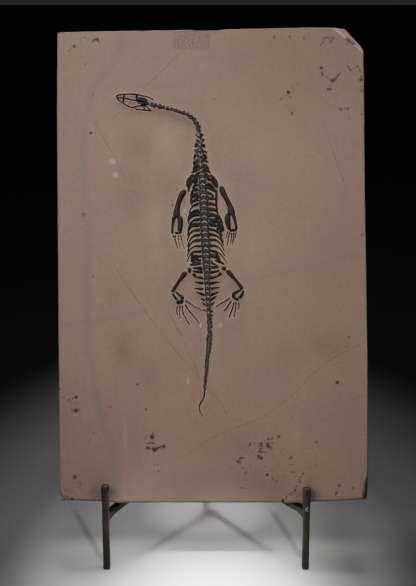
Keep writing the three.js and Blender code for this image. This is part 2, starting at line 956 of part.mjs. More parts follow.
/** Puts a named piece in a group. */
function place(group, name, geometry, finish) {
  const mesh = new THREE.Mesh(geometry, finish);
  mesh.name = name;
  group.add(mesh);
  return mesh;
}

place(face, 'matrix_slab', slab(), mudstone);

const skullParts = SKULL_BARS.map((bar) => raise(boneOutline(bar), SKULL_BAR_HEIGHT));
skullParts.push(raise(plateOutline(BRAINCASE), BRAINCASE_HEIGHT, BONE_BEVEL));
place(face, 'skull', fuse(skullParts), fossilBone);

const neckParts = [...vertebrae(NECK_LINE, NECK_VERTEBRAE, COLUMN_HEIGHT), ...neckRibs()];
place(face, 'neck_vertebrae', fuse(neckParts), fossilBone);

const trunkParts = [
  ...vertebrae(TRUNK_LINE, TRUNK_VERTEBRAE, COLUMN_HEIGHT, BONE_BEVEL),
  ...trunkRibs(),
  ...sideSpines(),
  ...CRUSHED_RIBS.map((points) => raise(plateOutline(points), CRUSHED_HEIGHT)),
  ...SACRAL_KNOBS.map((shape) => knob(shape, GIRDLE_HEIGHT))
];
place(face, 'trunk_and_ribs', fuse(trunkParts), fossilBone);

const tailParts = vertebrae(TAIL_LINE, TAIL_VERTEBRAE, GIRDLE_HEIGHT);
tailParts.push(raise(boneOutline(TAIL_END), DIGIT_HEIGHT));
place(face, 'tail_vertebrae', fuse(tailParts), fossilBone);

const plates = {
  shoulder_girdle_left: { points: LEFT_GIRDLE, height: GIRDLE_HEIGHT, bevel: SMALL_BEVEL },
  shoulder_girdle_right: { points: RIGHT_GIRDLE, height: GIRDLE_HEIGHT, bevel: SMALL_BEVEL },
  carpus_left: { points: LEFT_CARPUS, height: DIGIT_HEIGHT, bevel: 0 },
  carpus_right: { points: RIGHT_CARPUS, height: DIGIT_HEIGHT, bevel: 0 },
  tarsus_left: { points: LEFT_TARSUS, height: DIGIT_HEIGHT, bevel: 0 },
  tarsus_right: { points: RIGHT_TARSUS, height: DIGIT_HEIGHT, bevel: 0 }
};
for (const [name, { points, height, bevel }] of Object.entries(plates)) {
  place(face, name, raise(plateOutline(points), height, bevel), fossilBone);
}

for (const [name, shape] of Object.entries(HIP_KNOBS)) {
  place(face, name, knob(shape, GIRDLE_HEIGHT), fossilBone);
}

for (const [name, stations] of Object.entries(LIMB_BONES)) {
  const slimmest = Math.min(...stations.map(([, , width]) => width));
  const bevel = Math.min(BONE_BEVEL, BEVEL_SHARE_OF_WIDTH * slimmest);
  place(face, name, raise(boneOutline(stations), LIMB_HEIGHT, bevel), fossilBone);
}

for (const [name, digits] of Object.entries(DIGITS)) {
  digits.forEach((stations, index) => {
    place(face, `${name}_${index + 1}`, raise(boneOutline(stations), DIGIT_HEIGHT), fossilBone);
  });
}

place(stand, 'front_post_left', post(LEFT_POST_HEIGHT), wroughtIron).position.x = -POST_SPREAD / 2;
place(stand, 'front_post_right', post(RIGHT_POST_HEIGHT), wroughtIron).position.x = POST_SPREAD / 2;
place(stand, 'support_arm_left', arm(-1, LEFT_ARM_RISE), wroughtIron);
place(stand, 'support_arm_right', arm(1, RIGHT_ARM_RISE), wroughtIron);
place(stand, 'rear_strut', strut(), wroughtIron);

// The outline's middle, front to back, goes to the origin.
const rearExtent = STRUT_FOOT_DEPTH + BAR / Math.cos(STRUT_SLANT);
fossilPlate.position.y = (FRONT_EXTENT - rearExtent) / 2;
fossilPlate.add(face, stand);

export default fossilPlate;
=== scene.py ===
"""A small marine reptile, fossil on a slab of mudstone, and the wrought-iron easel that holds the slab.

Slab and bones are modelled flat, in millimetres on the slab's face: right, up the face, and out of it.
They are then laid on the leaning face. The easel is modelled in millimetres where it stands.
"""

import logging
import math
import random
from contextlib import contextmanager
from dataclasses import dataclass, field
from enum import Enum
from functools import reduce
from operator import or_
from typing import Iterator, NamedTuple, Sequence

import bpy
import numpy as np
from mathutils import Matrix, Vector, noise


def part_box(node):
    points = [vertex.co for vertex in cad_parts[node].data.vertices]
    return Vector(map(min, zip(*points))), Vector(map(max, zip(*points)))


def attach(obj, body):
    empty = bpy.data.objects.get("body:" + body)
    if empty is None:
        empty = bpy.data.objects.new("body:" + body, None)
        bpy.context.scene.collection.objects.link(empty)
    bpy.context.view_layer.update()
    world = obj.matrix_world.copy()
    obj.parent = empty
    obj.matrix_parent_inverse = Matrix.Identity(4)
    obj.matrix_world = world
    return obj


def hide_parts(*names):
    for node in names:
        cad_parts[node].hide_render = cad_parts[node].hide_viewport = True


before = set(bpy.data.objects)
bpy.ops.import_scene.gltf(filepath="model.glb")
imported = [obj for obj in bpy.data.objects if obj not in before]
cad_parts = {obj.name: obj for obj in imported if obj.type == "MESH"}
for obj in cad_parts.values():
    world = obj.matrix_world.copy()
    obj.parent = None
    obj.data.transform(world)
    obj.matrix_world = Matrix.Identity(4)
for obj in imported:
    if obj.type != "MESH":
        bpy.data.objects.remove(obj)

log = logging.getLogger("fossil_plate")

MM = 0.001
BODY = "root"

Point = tuple[float, float]
Station = tuple[float, float, float]
Colour = tuple[float, float, float]


class Slot(Enum):
    """The record's material slots."""

    STONE = "mudstone"
    BONE = "fossil_bone"
    IRON = "wrought_iron"


# ---- the workbench


class Bench:
    """Selection, edit mode and modifiers, used as by hand."""

    @staticmethod
    def clear() -> None:
        """Deselects everything."""
        bpy.ops.object.select_all(action="DESELECT")

    @staticmethod
    def pick(*things: bpy.types.Object) -> bpy.types.Object:
        """Selects only the given objects and makes the first one active.

        Args:
            *things: The objects.

        Returns:
            The first one.
        """
        Bench.clear()
        for thing in things:
            thing.select_set(True)
        bpy.context.view_layer.objects.active = things[0]
        return things[0]

    @staticmethod
    @contextmanager
    def editing(thing: bpy.types.Object, kind: str = "FACE") -> Iterator[None]:
        """Opens an object in edit mode with all of it selected.

        Args:
            thing: The object to edit.
            kind: What the selection holds: VERT, EDGE or FACE.
        """
        Bench.pick(thing)
        bpy.ops.object.mode_set(mode="EDIT")
        bpy.ops.mesh.select_mode(type=kind)
        bpy.ops.mesh.select_all(action="SELECT")
        yield
        bpy.ops.object.mode_set(mode="OBJECT")

    @staticmethod
    def modify(thing: bpy.types.Object, kind: str, **settings: object) -> None:
        """Adds a modifier with its settings and applies it.

        Args:
            thing: The object to change.
            kind: The modifier's type.
            **settings: The modifier's properties.
        """
        Bench.pick(thing)
        modifier = thing.modifiers.new(kind.lower(), kind)
        for name, value in settings.items():
            setattr(modifier, name, value)
        bpy.ops.object.modifier_apply(modifier=modifier.name)

    @staticmethod
    def extrude(move: Sequence[float]) -> None:
        """Extrudes the selection by that much."""
        bpy.ops.mesh.extrude_region_move(TRANSFORM_OT_translate={"value": move})

    @staticmethod
    def pick_rim() -> None:
        """Selects only the open edges."""
        bpy.ops.mesh.select_all(action="DESELECT")
        bpy.ops.mesh.select_non_manifold()

    @staticmethod
    def join(things: Sequence[bpy.types.Object]) -> bpy.types.Object:
        """Joins objects into one.

        Args:
            things: The objects, one or more.

        Returns:
            The first of them, which then holds them all.
        """
        whole = Bench.pick(*things)
        if len(things) > 1:
            bpy.ops.object.join()
        return whole

    @staticmethod
    def fuse(parts: Sequence[bpy.types.Object], name: str, voxel: float, smoothing: int) -> bpy.types.Object:
        """Fuses parts into one closed skin.

        Args:
            parts: The objects, one or more.
            name: The name of the whole.
            voxel: How finely the skin is made, in millimetres.
            smoothing: How many times it is smoothed.

        Returns:
            The whole.
        """
        whole = Bench.join(parts)
        whole.name = name
        Bench.modify(whole, "REMESH", mode="VOXEL", voxel_size=voxel)
        Bench.modify(whole, "SMOOTH", factor=0.5, iterations=smoothing)
        return whole

    @staticmethod
    def twin(thing: bpy.types.Object) -> bpy.types.Object:
        """Copies an object, with a mesh of its own.

        Args:
            thing: The object to copy.

        Returns:
            The copy.
        """
        copy = thing.copy()
        copy.data = thing.data.copy()
        bpy.context.scene.collection.objects.link(copy)
        return copy

    @staticmethod
    def settle(thing: bpy.types.Object, matrix: Matrix | None = None) -> bpy.types.Object:
        """Puts an object's place into its mesh.

        Args:
            thing: The object to settle.
            matrix: A matrix that carries it to its place first.

        Returns:
            The same object, at the origin, unturned and unscaled.
        """
        if matrix is not None:
            thing.matrix_world = matrix @ thing.matrix_basis
        Bench.pick(thing)
        bpy.ops.object.transform_apply(location=True, rotation=True, scale=True)
        return thing

    @staticmethod
    def points(thing: bpy.types.Object) -> np.ndarray:
        """Reads a mesh.

        Args:
            thing: The object.

        Returns:
            The places of its points, one row each.
        """
        places = np.empty(len(thing.data.vertices) * 3)
        thing.data.vertices.foreach_get("co", places)
        return places.reshape(-1, 3)

    @staticmethod
    def move_points(thing: bpy.types.Object, places: np.ndarray) -> None:
        """Puts a mesh's points at these places."""
        thing.data.vertices.foreach_set("co", places.ravel())

    @staticmethod
    def keep(thing: bpy.types.Object, name: str, kind: str, values: np.ndarray) -> None:
        """Stores a value or a vector at every point of a mesh."""
        layer = thing.data.attributes.new(name, kind, "POINT")
        layer.data.foreach_set("value" if kind == "FLOAT" else "vector", values.astype(np.float32).ravel())

    @staticmethod
    def face_outwards(thing: bpy.types.Object) -> None:
        """Turns every face of a closed mesh outwards."""
        with Bench.editing(thing):
            bpy.ops.mesh.normals_make_consistent(inside=False)


@dataclass(frozen=True)
class Grain:
    """A fine unevenness that is pressed into a surface."""

    kind: str
    size: float
    depth: float
    level: float = 0.5

    def press(self, thing: bpy.types.Object) -> None:
        """Moves the surface of an object in and out by this grain.

        Args:
            thing: The object.
        """
        texture = bpy.data.textures.new("grain", self.kind)
        texture.noise_scale = self.size
        settings = {"texture": texture, "strength": self.depth, "mid_level": self.level}
        Bench.modify(thing, "DISPLACE", texture_coords="LOCAL", **settings)


# ---- the leaning face


@dataclass(frozen=True)
class LeaningFace:
    """The slab's face: where its bottom edge is and how far it leans back."""

    lean: float
    foot: Vector

    @classmethod
    def of_slab(cls, top: float, thickness: float, wear: float, lean: float) -> "LeaningFace":
        """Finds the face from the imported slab.

        Args:
            top: Highest point of the slab's outline, in millimetres up the face.
            thickness: The slab's thickness in millimetres.
            wear: How far its edges are worn, in millimetres.
            lean: The lean in radians.

        Returns:
            The face.
        """
        low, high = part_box("matrix_slab")
        sill = low.z + (thickness - wear) * MM * math.sin(lean)
        behind = (top - wear) * math.sin(lean) + thickness * math.cos(lean)
        return cls(lean, Vector((0, high.y - behind * MM, sill)))

    @property
    def matrix(self) -> Matrix:
        """From millimetres on the face to metres in the row's frame."""
        turn = Matrix.Rotation(math.pi / 2 - self.lean, 4, "X")
        return Matrix.Translation(self.foot) @ turn @ Matrix.Scale(MM, 4)

    @property
    def outward(self) -> Vector:
        """The way straight out of the face."""
        return Vector((0, -math.cos(self.lean), math.sin(self.lean)))


# ---- shader graphs


class Sock:
    """A socket in a shader graph. Arithmetic on it adds Math nodes."""

    def __init__(self, graph: "Graph", socket: bpy.types.NodeSocket) -> None:
        """Keeps the socket and the graph that it belongs to."""
        self.graph = graph
        self.socket = socket

    def _with(self, operation: str, *values: "Sock | float") -> "Sock":
        """Adds one Math node that takes these values in order."""
        return self.graph.add("ShaderNodeMath", {"operation": operation}, dict(enumerate(values)))

    def __add__(self, other: "Sock | float") -> "Sock":
        """Sum."""
        return self._with("ADD", self, other)

    def __sub__(self, other: "Sock | float") -> "Sock":
        """Difference."""
        return self._with("SUBTRACT", self, other)

    def __mul__(self, other: "Sock | float") -> "Sock":
        """Product."""
        return self._with("MULTIPLY", self, other)

    def __truediv__(self, other: "Sock | float") -> "Sock":
        """Quotient."""
        return self._with("DIVIDE", self, other)

    def __radd__(self, other: float) -> "Sock":
        """Sum, from the right."""
        return self._with("ADD", other, self)

    def __rsub__(self, other: float) -> "Sock":
        """Difference, from the right."""
        return self._with("SUBTRACT", other, self)

    def __rmul__(self, other: float) -> "Sock":
        """Product, from the right."""
        return self._with("MULTIPLY", other, self)

    def __abs__(self) -> "Sock":
        """Size without the sign."""
        return self._with("ABSOLUTE", self)

    def __or__(self, other: "Sock | float") -> "Sock":
        """The larger of two values."""
        return self._with("MAXIMUM", self, other)

    def rise(self, low: float, high: float) -> "Sock":
        """Goes smoothly from 0 at low to 1 at high."""
        settings = {"interpolation_type": "SMOOTHSTEP"}
        return self.graph.add("ShaderNodeMapRange", settings, {0: self, 1: low, 2: high})

    def fraction(self) -> "Sock":
        """What is left over after the whole steps."""
        return self._with("FRACT", self)

    def fall(self, low: float, high: float) -> "Sock":
        """Goes smoothly from 1 at low to 0 at high."""
        settings = {"interpolation_type": "SMOOTHSTEP"}
        return self.graph.add("ShaderNodeMapRange", settings, {0: self, 1: low, 2: high, 3: 1.0, 4: 0.0})


class Graph:
    """The node graph of one finish."""

    def __init__(self, name: str) -> None:
        """Starts an empty material.

        Args:
            name: The material's name.
        """
        self.material = bpy.data.materials.new(name)
        self.material.use_nodes = True
        self.nodes = self.material.node_tree.nodes
        self.links = self.material.node_tree.links
        self.nodes.clear()

    def add(
        self,
        kind: str,
        settings: dict[str, object] | None = None,
        sockets: dict[int | str, object] | None = None,
        output: int | str = 0,
    ) -> Sock:
        """Adds a node.

        Args:
            kind: The node's type.
            settings: Its properties, which are set first.
            sockets: A value or a link for each of the named or numbered inputs.
            output: The output that is handed back.

        Returns:
            The chosen output.
        """
        node = self.nodes.new(kind)
        for name, value in (settings or {}).items():
            setattr(node, name, value)
        for key, value in (sockets or {}).items():
            if isinstance(value, Sock):
                self.links.new(value.socket, node.inputs[key])
            else:
                node.inputs[key].default_value = value
        return Sock(self, node.outputs[output])

    def vector(self, operation: str, *values: object, output: int | str = 0) -> Sock:
        """Adds one Vector Math node that takes these values in order."""
        return self.add("ShaderNodeVectorMath", {"operation": operation}, dict(enumerate(values)), output)

    def place(self, face: LeaningFace | None = None) -> Sock:
        """Finds the point being shaded.

        Args:
            face: The face to measure on, or none for the row's frame.

        Returns:
            The point, in millimetres.
        """
        turn = Matrix.Rotation(face.lean - math.pi / 2, 4, "X") if face else Matrix.Identity(4)
        shift = -(turn @ face.foot) / MM if face else Vector()
        point = self.add("ShaderNodeTexCoord", output="Object")
        sockets = {0: point, 1: shift, 2: turn.to_euler(), 3: (1 / MM,) * 3}
        return self.add("ShaderNodeMapping", {"vector_type": "POINT"}, sockets)

    def noise(self, place: Sock, scale: float, detail: float = 3, rough: float = 0.55) -> Sock:
        """Soft noise with that many waves to a millimetre."""
        sockets = {"Vector": place, "Scale": scale, "Detail": detail, "Roughness": rough}
        return self.add("ShaderNodeTexNoise", None, sockets)

    def cells(self, place: Sock, scale: float) -> Sock:
        """Distance from the middle of the nearest cell."""
        return self.add("ShaderNodeTexVoronoi", None, {"Vector": place, "Scale": scale})

    def split(self, vector: Sock) -> tuple[Sock, Sock, Sock]:
        """The three parts of a vector."""
        parts = self.add("ShaderNodeSeparateXYZ", None, {0: vector}).socket.node.outputs
        return tuple(Sock(self, part) for part in parts)

    def attribute(self, name: str, output: str = "Fac") -> Sock:
        """A value that the mesh carries at its points."""
        return self.add("ShaderNodeAttribute", {"attribute_name": name}, None, output)

    def mix(self, base: "Sock | Colour", other: "Sock | Colour", share: "Sock | float") -> Sock:
        """Blends two colours.

        Args:
            base: The first colour.
            other: The colour that is mixed in.
            share: How much of it, from 0 to 1.

        Returns:
            The blend.
        """
        sockets = {0: share}
        for key, value in ((6, base), (7, other)):
            sockets[key] = value if isinstance(value, Sock) else (*value, 1)
        return self.add("ShaderNodeMix", {"data_type": "RGBA"}, sockets, 2)

    def tint(self, base: Sock, other: Colour, share: "Sock | float") -> Sock:
        """Multiplies a colour by another one, to that share."""
        settings = {"data_type": "RGBA", "blend_type": "MULTIPLY"}
        return self.add("ShaderNodeMix", settings, {0: share, 6: base, 7: (*other, 1)}, 2)

    def spot(self, plane: Sock, centre: Point, radius: float, reach: Point = (1.0, 1.0)) -> Sock:
        """A soft oval spot.

        Args:
            plane: The point being shaded, flattened on the face.
            centre: The spot's middle, in millimetres.
            radius: Where the spot has faded out.
            reach: The oval's shape: how far the radius goes each way.

        Returns:
            One in the middle and zero outside.
        """
        middle = (centre[0] / reach[0], centre[1] / reach[1], 0)
        away = self.vector("DISTANCE", self.vector("DIVIDE", plane, (*reach, 1)), middle, output="Value")
        return away.fall(0.35 * radius, radius)

    def flat(self, place: Sock) -> Sock:
        """A place on the face without its height."""
        return self.vector("MULTIPLY", place, (1, 1, 0))

    def bump(self, height: Sock, depth: float, below: Sock | None = None) -> Sock:
        """Tilts the normal by a height.

        Args:
            height: The height, from 0 to 1.
            depth: The millimetres that it spans.
            below: A tilt that this one is laid on.

        Returns:
            The tilted normal.
        """
        sockets = {"Height": height, "Distance": depth * MM, "Strength": 1.0}
        if below is not None:
            sockets["Normal"] = below
        return self.add("ShaderNodeBump", None, sockets, "Normal")

    def finish(self, **sockets: object) -> bpy.types.Material:
        """Closes the graph with a Principled shader.

        Args:
            **sockets: Values or links for the shader's inputs, with _ for a space.

        Returns:
            The finished material.
        """
        named = {name.replace("_", " "): value for name, value in sockets.items()}
        shader = self.add("ShaderNodeBsdfPrincipled", None, named, "BSDF")
        output = self.nodes.new("ShaderNodeOutputMaterial")
        self.links.new(shader.socket, output.inputs["Surface"])
        return self.material


# ---- places on the face, in millimetres: right, up

SLAB_OUTLINE = (
    (-124, 375), (-122.6, 375.9), (-97.9, 376.6), (-65.9, 377.2), (-17.1, 377.8), (-13, 377.2), (5, 377.4),
    (9.3, 378.2), (38.1, 378.9), (70.1, 379.8), (106.1, 379.5), (111.7, 373.2), (117.8, 366.4),
    (120.9, 360.7), (121.3, 345), (122.1, 252.4), (124.2, 119.6), (124.4, 26), (124.4, 8.4), (123.7, 2.8),
    (98.9, 1.3), (80, 0.8), (71, 0), (-78, 0), (-88.3, 1.2), (-112.3, 1.6), (-115.5, 2.3), (-120.6, 1.6),
    (-122.2, 7.5), (-122.6, 58), (-123.5, 190), (-124.4, 322),
)
LEFT_GIRDLE = (
    ((-15.3, 261.8, 2.3), (-17.3, 259.9, 3), (-18.8, 257.4, 3.4), (-19.7, 254.6, 3.2), (-19.6, 252.4, 2)),
    ((-14.8, 260.6, 1.2), (-15.2, 257, 1.4), (-17, 255.1, 2.1), (-18.8, 252.6, 2), (-19, 249.7, 1.5),
     (-18.8, 247.9, 0.9)),
)
RIGHT_GIRDLE = (
    ((-1.5, 261.7, 2.3), (0.4, 259.6, 2.9), (2.2, 256.7, 3.3), (3.4, 254.2, 3), (3.2, 251.3, 1.7)),
    ((-2.2, 260.4, 1), (-1, 257, 1.4), (1.1, 254.6, 1.2), (2.3, 252.1, 1)),
)
BRAINCASE = (
    ((-60.5, 321.7, 2.6), (-58.2, 321.8, 3.2), (-55.4, 321.2, 3.4), (-52.8, 319.9, 2.9), (-51, 318.5, 1.9)),
    ((-60.3, 322.9, 1.1), (-57.8, 323.4, 1), (-54.9, 323, 0.9), (-52.3, 321.7, 0.8)),
    ((-59.5, 319.4, 0.9), (-56.8, 318.8, 1), (-54.2, 317.7, 1)),
    ((-55, 319.3, 1.3), (-53.8, 318.3, 1), (-51, 317.8, 1.2)),
)
WRISTS_AND_ANKLES = {
    "carpus_left": (
        (-30.2, 216.1), (-28, 216.5), (-27, 215.9), (-26.2, 216.2), (-24.9, 216.2), (-25, 215.4),
        (-26.4, 215.1), (-27.8, 214.6), (-29.8, 214.6),
    ),
    "carpus_right": (
        (13.6, 217.5), (14.6, 218.4), (16.2, 219.1), (17.8, 218.7), (19.2, 218.4), (19.3, 217.5),
        (18.2, 216.9), (16.8, 216.7), (15.2, 216.5), (14, 216.6),
    ),
    "tarsus_left": (
        (-28.7, 160.8), (-27.6, 162), (-26.2, 161.6), (-25, 162.5), (-23.6, 162.7), (-22.7, 161.5),
        (-23.5, 159.9), (-25.1, 158.8), (-27.4, 158.6), (-28.6, 159.3),
    ),
    "tarsus_right": (
        (15.3, 165.8), (16.6, 166.1), (17.7, 165), (18.9, 163.8), (20.5, 163.7), (21, 162.7), (20.1, 161.6),
        (18.4, 161.6), (16.9, 162.9), (15.7, 164.4),
    ),
}
# Ribs and belly bones pressed against each other, at the right of the chest and before the hips.
CRUSHED_RIBS = (
    ((4.2, 231.1, 1.8), (5.8, 228.4, 2), (7.2, 225.2, 2), (8.2, 221.8, 1.8), (8.7, 218.2, 1.5),
     (8.6, 215.4, 1)),
    ((2.2, 229.5, 1.8), (4.2, 226.3, 1.8), (5.8, 223.1, 1.9), (6.7, 219.9, 2), (7.3, 216.7, 1.6)),
    ((0.6, 225.8, 1.6), (2.7, 225.2, 1.4), (4.2, 222, 1.7), (5.2, 218.5, 1.8), (5.9, 215.9, 1.2)),
    ((1.3, 222.2, 1.3), (3.1, 221, 1.4), (4, 217.8, 1.6)),
    ((-1.9, 226.3, 1.8), (0.8, 226.2, 1.9), (3, 226.6, 1.6)),
    ((-9, 196.6, 1.8), (-11.8, 196.5, 1.4), (-14.2, 197.2, 2.1), (-16, 195.3, 2), (-17, 192.4, 1.6)),
    ((-8.8, 193.7, 1.5), (-11.4, 194.4, 1.5), (-14, 194.6, 1.5), (-15.6, 192.9, 1.7), (-15.8, 191.1, 1.3)),
    ((-8.8, 191, 1.6), (-11.7, 189.8, 1.3), (-14.6, 190.3, 1.7), (-17.7, 190, 2.6)),
    ((-15.5, 200.2, 1.8), (-16.4, 197.8, 1.9), (-17, 194.5, 1.5)),
    ((-2.2, 200.4, 1.9), (-0.3, 200.9, 2.2), (2.2, 200.1, 2.1), (4, 198.2, 1.9), (5.4, 195.9, 1.8),
     (6.2, 193.7, 1.5)),
    ((-1.9, 196.9, 2.1), (0.6, 197.3, 2.3), (3, 195.9, 2.2), (4.8, 193.8, 1.9), (6.9, 192.1, 2.4),
     (8.7, 190.9, 2.9)),
    ((1.7, 193.7, 1.4), (4, 192.6, 1.2), (5.9, 191.1, 1.1)),
    ((-9.7, 196.7, 2.7), (-13.2, 196, 2.9), (-15.4, 193.9, 2.7)),
    ((-8.6, 193.9, 2.7), (-12.2, 192.5, 3), (-15.8, 191, 2.7)),
    ((-8.2, 191, 2.2), (-11.8, 190.3, 2), (-17.4, 190.1, 3.1)),
    ((-2.2, 198.2, 2.9), (1, 197.8, 3.1), (3.9, 196.4, 3.1)),
    ((-1.8, 194.6, 2.4), (-0.4, 191.4, 2.4), (3.9, 188.9, 2)),
    ((-1.1, 191.3, 1.8), (1.9, 190.5, 1.3), (4.8, 189.4, 1)),
)

# ---- bones along a line: right, up, width

SKULL_BARS = (
    ((-76.6, 324.2, 1.3), (-75.4, 325.7, 1.1), (-72.3, 326.3, 0.9), (-64.7, 326.5, 0.9),
     (-60.5, 326.1, 1.5), (-55.5, 325, 1), (-50.7, 323.9, 0.8), (-46.9, 322, 1.2)),
    ((-76.6, 324.2, 1.3), (-75.1, 321.5, 1), (-70.7, 318.6, 1), (-65.9, 316, 1), (-63.4, 315.2, 1.2),
     (-61.4, 316.6, 1), (-55.2, 317.2, 1.3)),
    ((-76.2, 323.6, 1.1), (-72.9, 323.2, 0.9), (-70.9, 323.6, 1.2), (-64.7, 321.8, 1), (-59.9, 320.7, 1.1)),
    ((-70.5, 326.1, 0.8), (-70.5, 324.4, 1), (-71.4, 321.8, 1), (-71.3, 319.2, 0.8)),
    ((-60.5, 326.1, 1.6), (-60.7, 323.6, 1.1), (-60.5, 321.8, 1.4)),
    ((-61.7, 314.5, 0.9), (-56.7, 313.7, 0.8), (-54.2, 313.5, 1.2), (-51.5, 313, 0.8), (-49.1, 313.3, 1.6)),
    ((-55, 317.5, 1.3), (-54.5, 315.4, 0.7), (-54.3, 313.5, 1)),
    ((-53.8, 317.7, 1.4), (-52.1, 315.6, 0.8), (-49.3, 313.3, 1)),
)
HIGH_NECK_LINE = (
    (-50.1, 317.9, 2.3), (-46.2, 317.4, 2.6), (-40.7, 316.1, 2.4), (-32.7, 314.2, 2.4), (-26.3, 312.1, 2.4),
    (-20, 309.7, 2.6), (-15.2, 306.1, 2.8), (-12.2, 301.2, 3.2), (-11, 295.2, 3.4),
)
LOW_NECK_LINE = (
    (-11, 295.4, 3.5), (-10.3, 288, 3.9), (-10.1, 278.8, 4.3), (-9.4, 269.2, 4.6), (-8.9, 263.2, 5.1),
)
TRUNK_LINE = (
    (-8.7, 263.4, 5.6), (-8.4, 260.6, 6.1), (-8, 256.4, 6.2), (-7, 239.2, 6.7), (-6.5, 226, 6.9),
    (-5.8, 211.6, 7), (-5.1, 197.2, 7), (-4.7, 189.6, 6.5), (-4.5, 184, 5.2), (-4.4, 178, 4.7),
    (-4, 170, 4.4), (-3.4, 158.8, 3.6), (-3.1, 148.4, 3),
)
TAIL_LINE = (
    (-3.1, 149, 2.8), (-2.6, 145.6, 3.1), (-2, 141, 3.5), (-2, 137.6, 2.8), (-2.5, 134, 3.8),
    (-2.9, 128.6, 3.9), (-3.3, 122.6, 3.5), (-4.2, 115.2, 3), (-5, 106.4, 2.3), (-5.9, 98, 1.8),
    (-6.3, 90, 1.4),
)
TAIL_END = (
    (-6.4, 91, 1.1), (-6.3, 85.2, 1), (-7.5, 82.5, 1), (-9.4, 80.7, 1.2), (-10.4, 78, 1),
    (-10.9, 75.8, 0.8), (-10.1, 73.5, 0.7), (-7.4, 68.4, 0.6),
)
LIMB_BONES = {
    "humerus_left": (
        (-21.9, 249.1, 3), (-23.5, 247.7, 4.4), (-24.9, 245.2, 4), (-26.3, 242, 3.4), (-27.4, 238.4, 3.4),
        (-28.3, 234.4, 3.8), (-28.6, 231.4, 4.9), (-28.6, 229.4, 5.5),
    ),
    "radius_left": (
        (-26.4, 228, 3.8), (-25.6, 225.8, 4), (-25.6, 222, 3.7), (-25.9, 219, 3.6), (-26.1, 217.4, 3.2),
    ),
    "ulna_left": (
        (-30.7, 227.6, 2.9), (-31.4, 225.2, 2.1), (-31.9, 222, 1.5), (-32, 218.8, 1.4), (-32.1, 215.3, 1.6),
    ),
    "humerus_right": (
        (7.1, 252.1, 3.2), (7.7, 249.6, 4.3), (8.8, 246.8, 4.2), (10.7, 243.6, 3.5), (12.3, 240.8, 3.4),
        (13.7, 237.6, 3.6), (14.8, 234.4, 4.5), (15.1, 232.6, 5.3), (14.9, 231, 5),
    ),
    "radius_right": (
        (12.6, 230.2, 3.4), (11.8, 227.6, 4.2), (11.9, 224.4, 4), (12.8, 221.2, 3), (13.6, 218.6, 2.4),
    ),
    "ulna_right": (
        (16.2, 230.6, 3), (17.3, 227.6, 2.4), (18.3, 224.4, 1.8), (19, 221.2, 1.7), (19.1, 218.8, 1.9),
    ),
    "femur_left": (
        (-21.7, 183.8, 3.4), (-23, 182, 3.6), (-25.2, 179.1, 2.5), (-27.4, 176.4, 1.9), (-29.4, 173.2, 2),
        (-31, 170.6, 2.5), (-31.8, 169, 2.7),
    ),
    "tibia_left": ((-28.8, 168.3, 1.6), (-26.8, 166.4, 1.6), (-24.8, 164.8, 2.4), (-23.7, 163.8, 3)),
    "fibula_left": ((-31.6, 166.7, 1.7), (-30.2, 164.5, 1.5), (-28.8, 162.4, 1.7)),
    "femur_right": (
        (12.4, 185, 3.6), (13.8, 183.3, 3.6), (16, 180.7, 2.7), (18.4, 178.2, 2.3), (20.6, 175.4, 2.2),
        (22.4, 173, 2.7), (23.4, 171.6, 2.9),
    ),
    "tibia_right": ((22.4, 170, 1.4), (20.1, 169.2, 1.6), (17.7, 167.9, 1.8), (16.3, 166.7, 2.6)),
    "fibula_right": ((24.6, 169.3, 1.7), (23.8, 166.9, 1.8), (22.3, 165, 1.8), (21.4, 164, 1.9)),
}
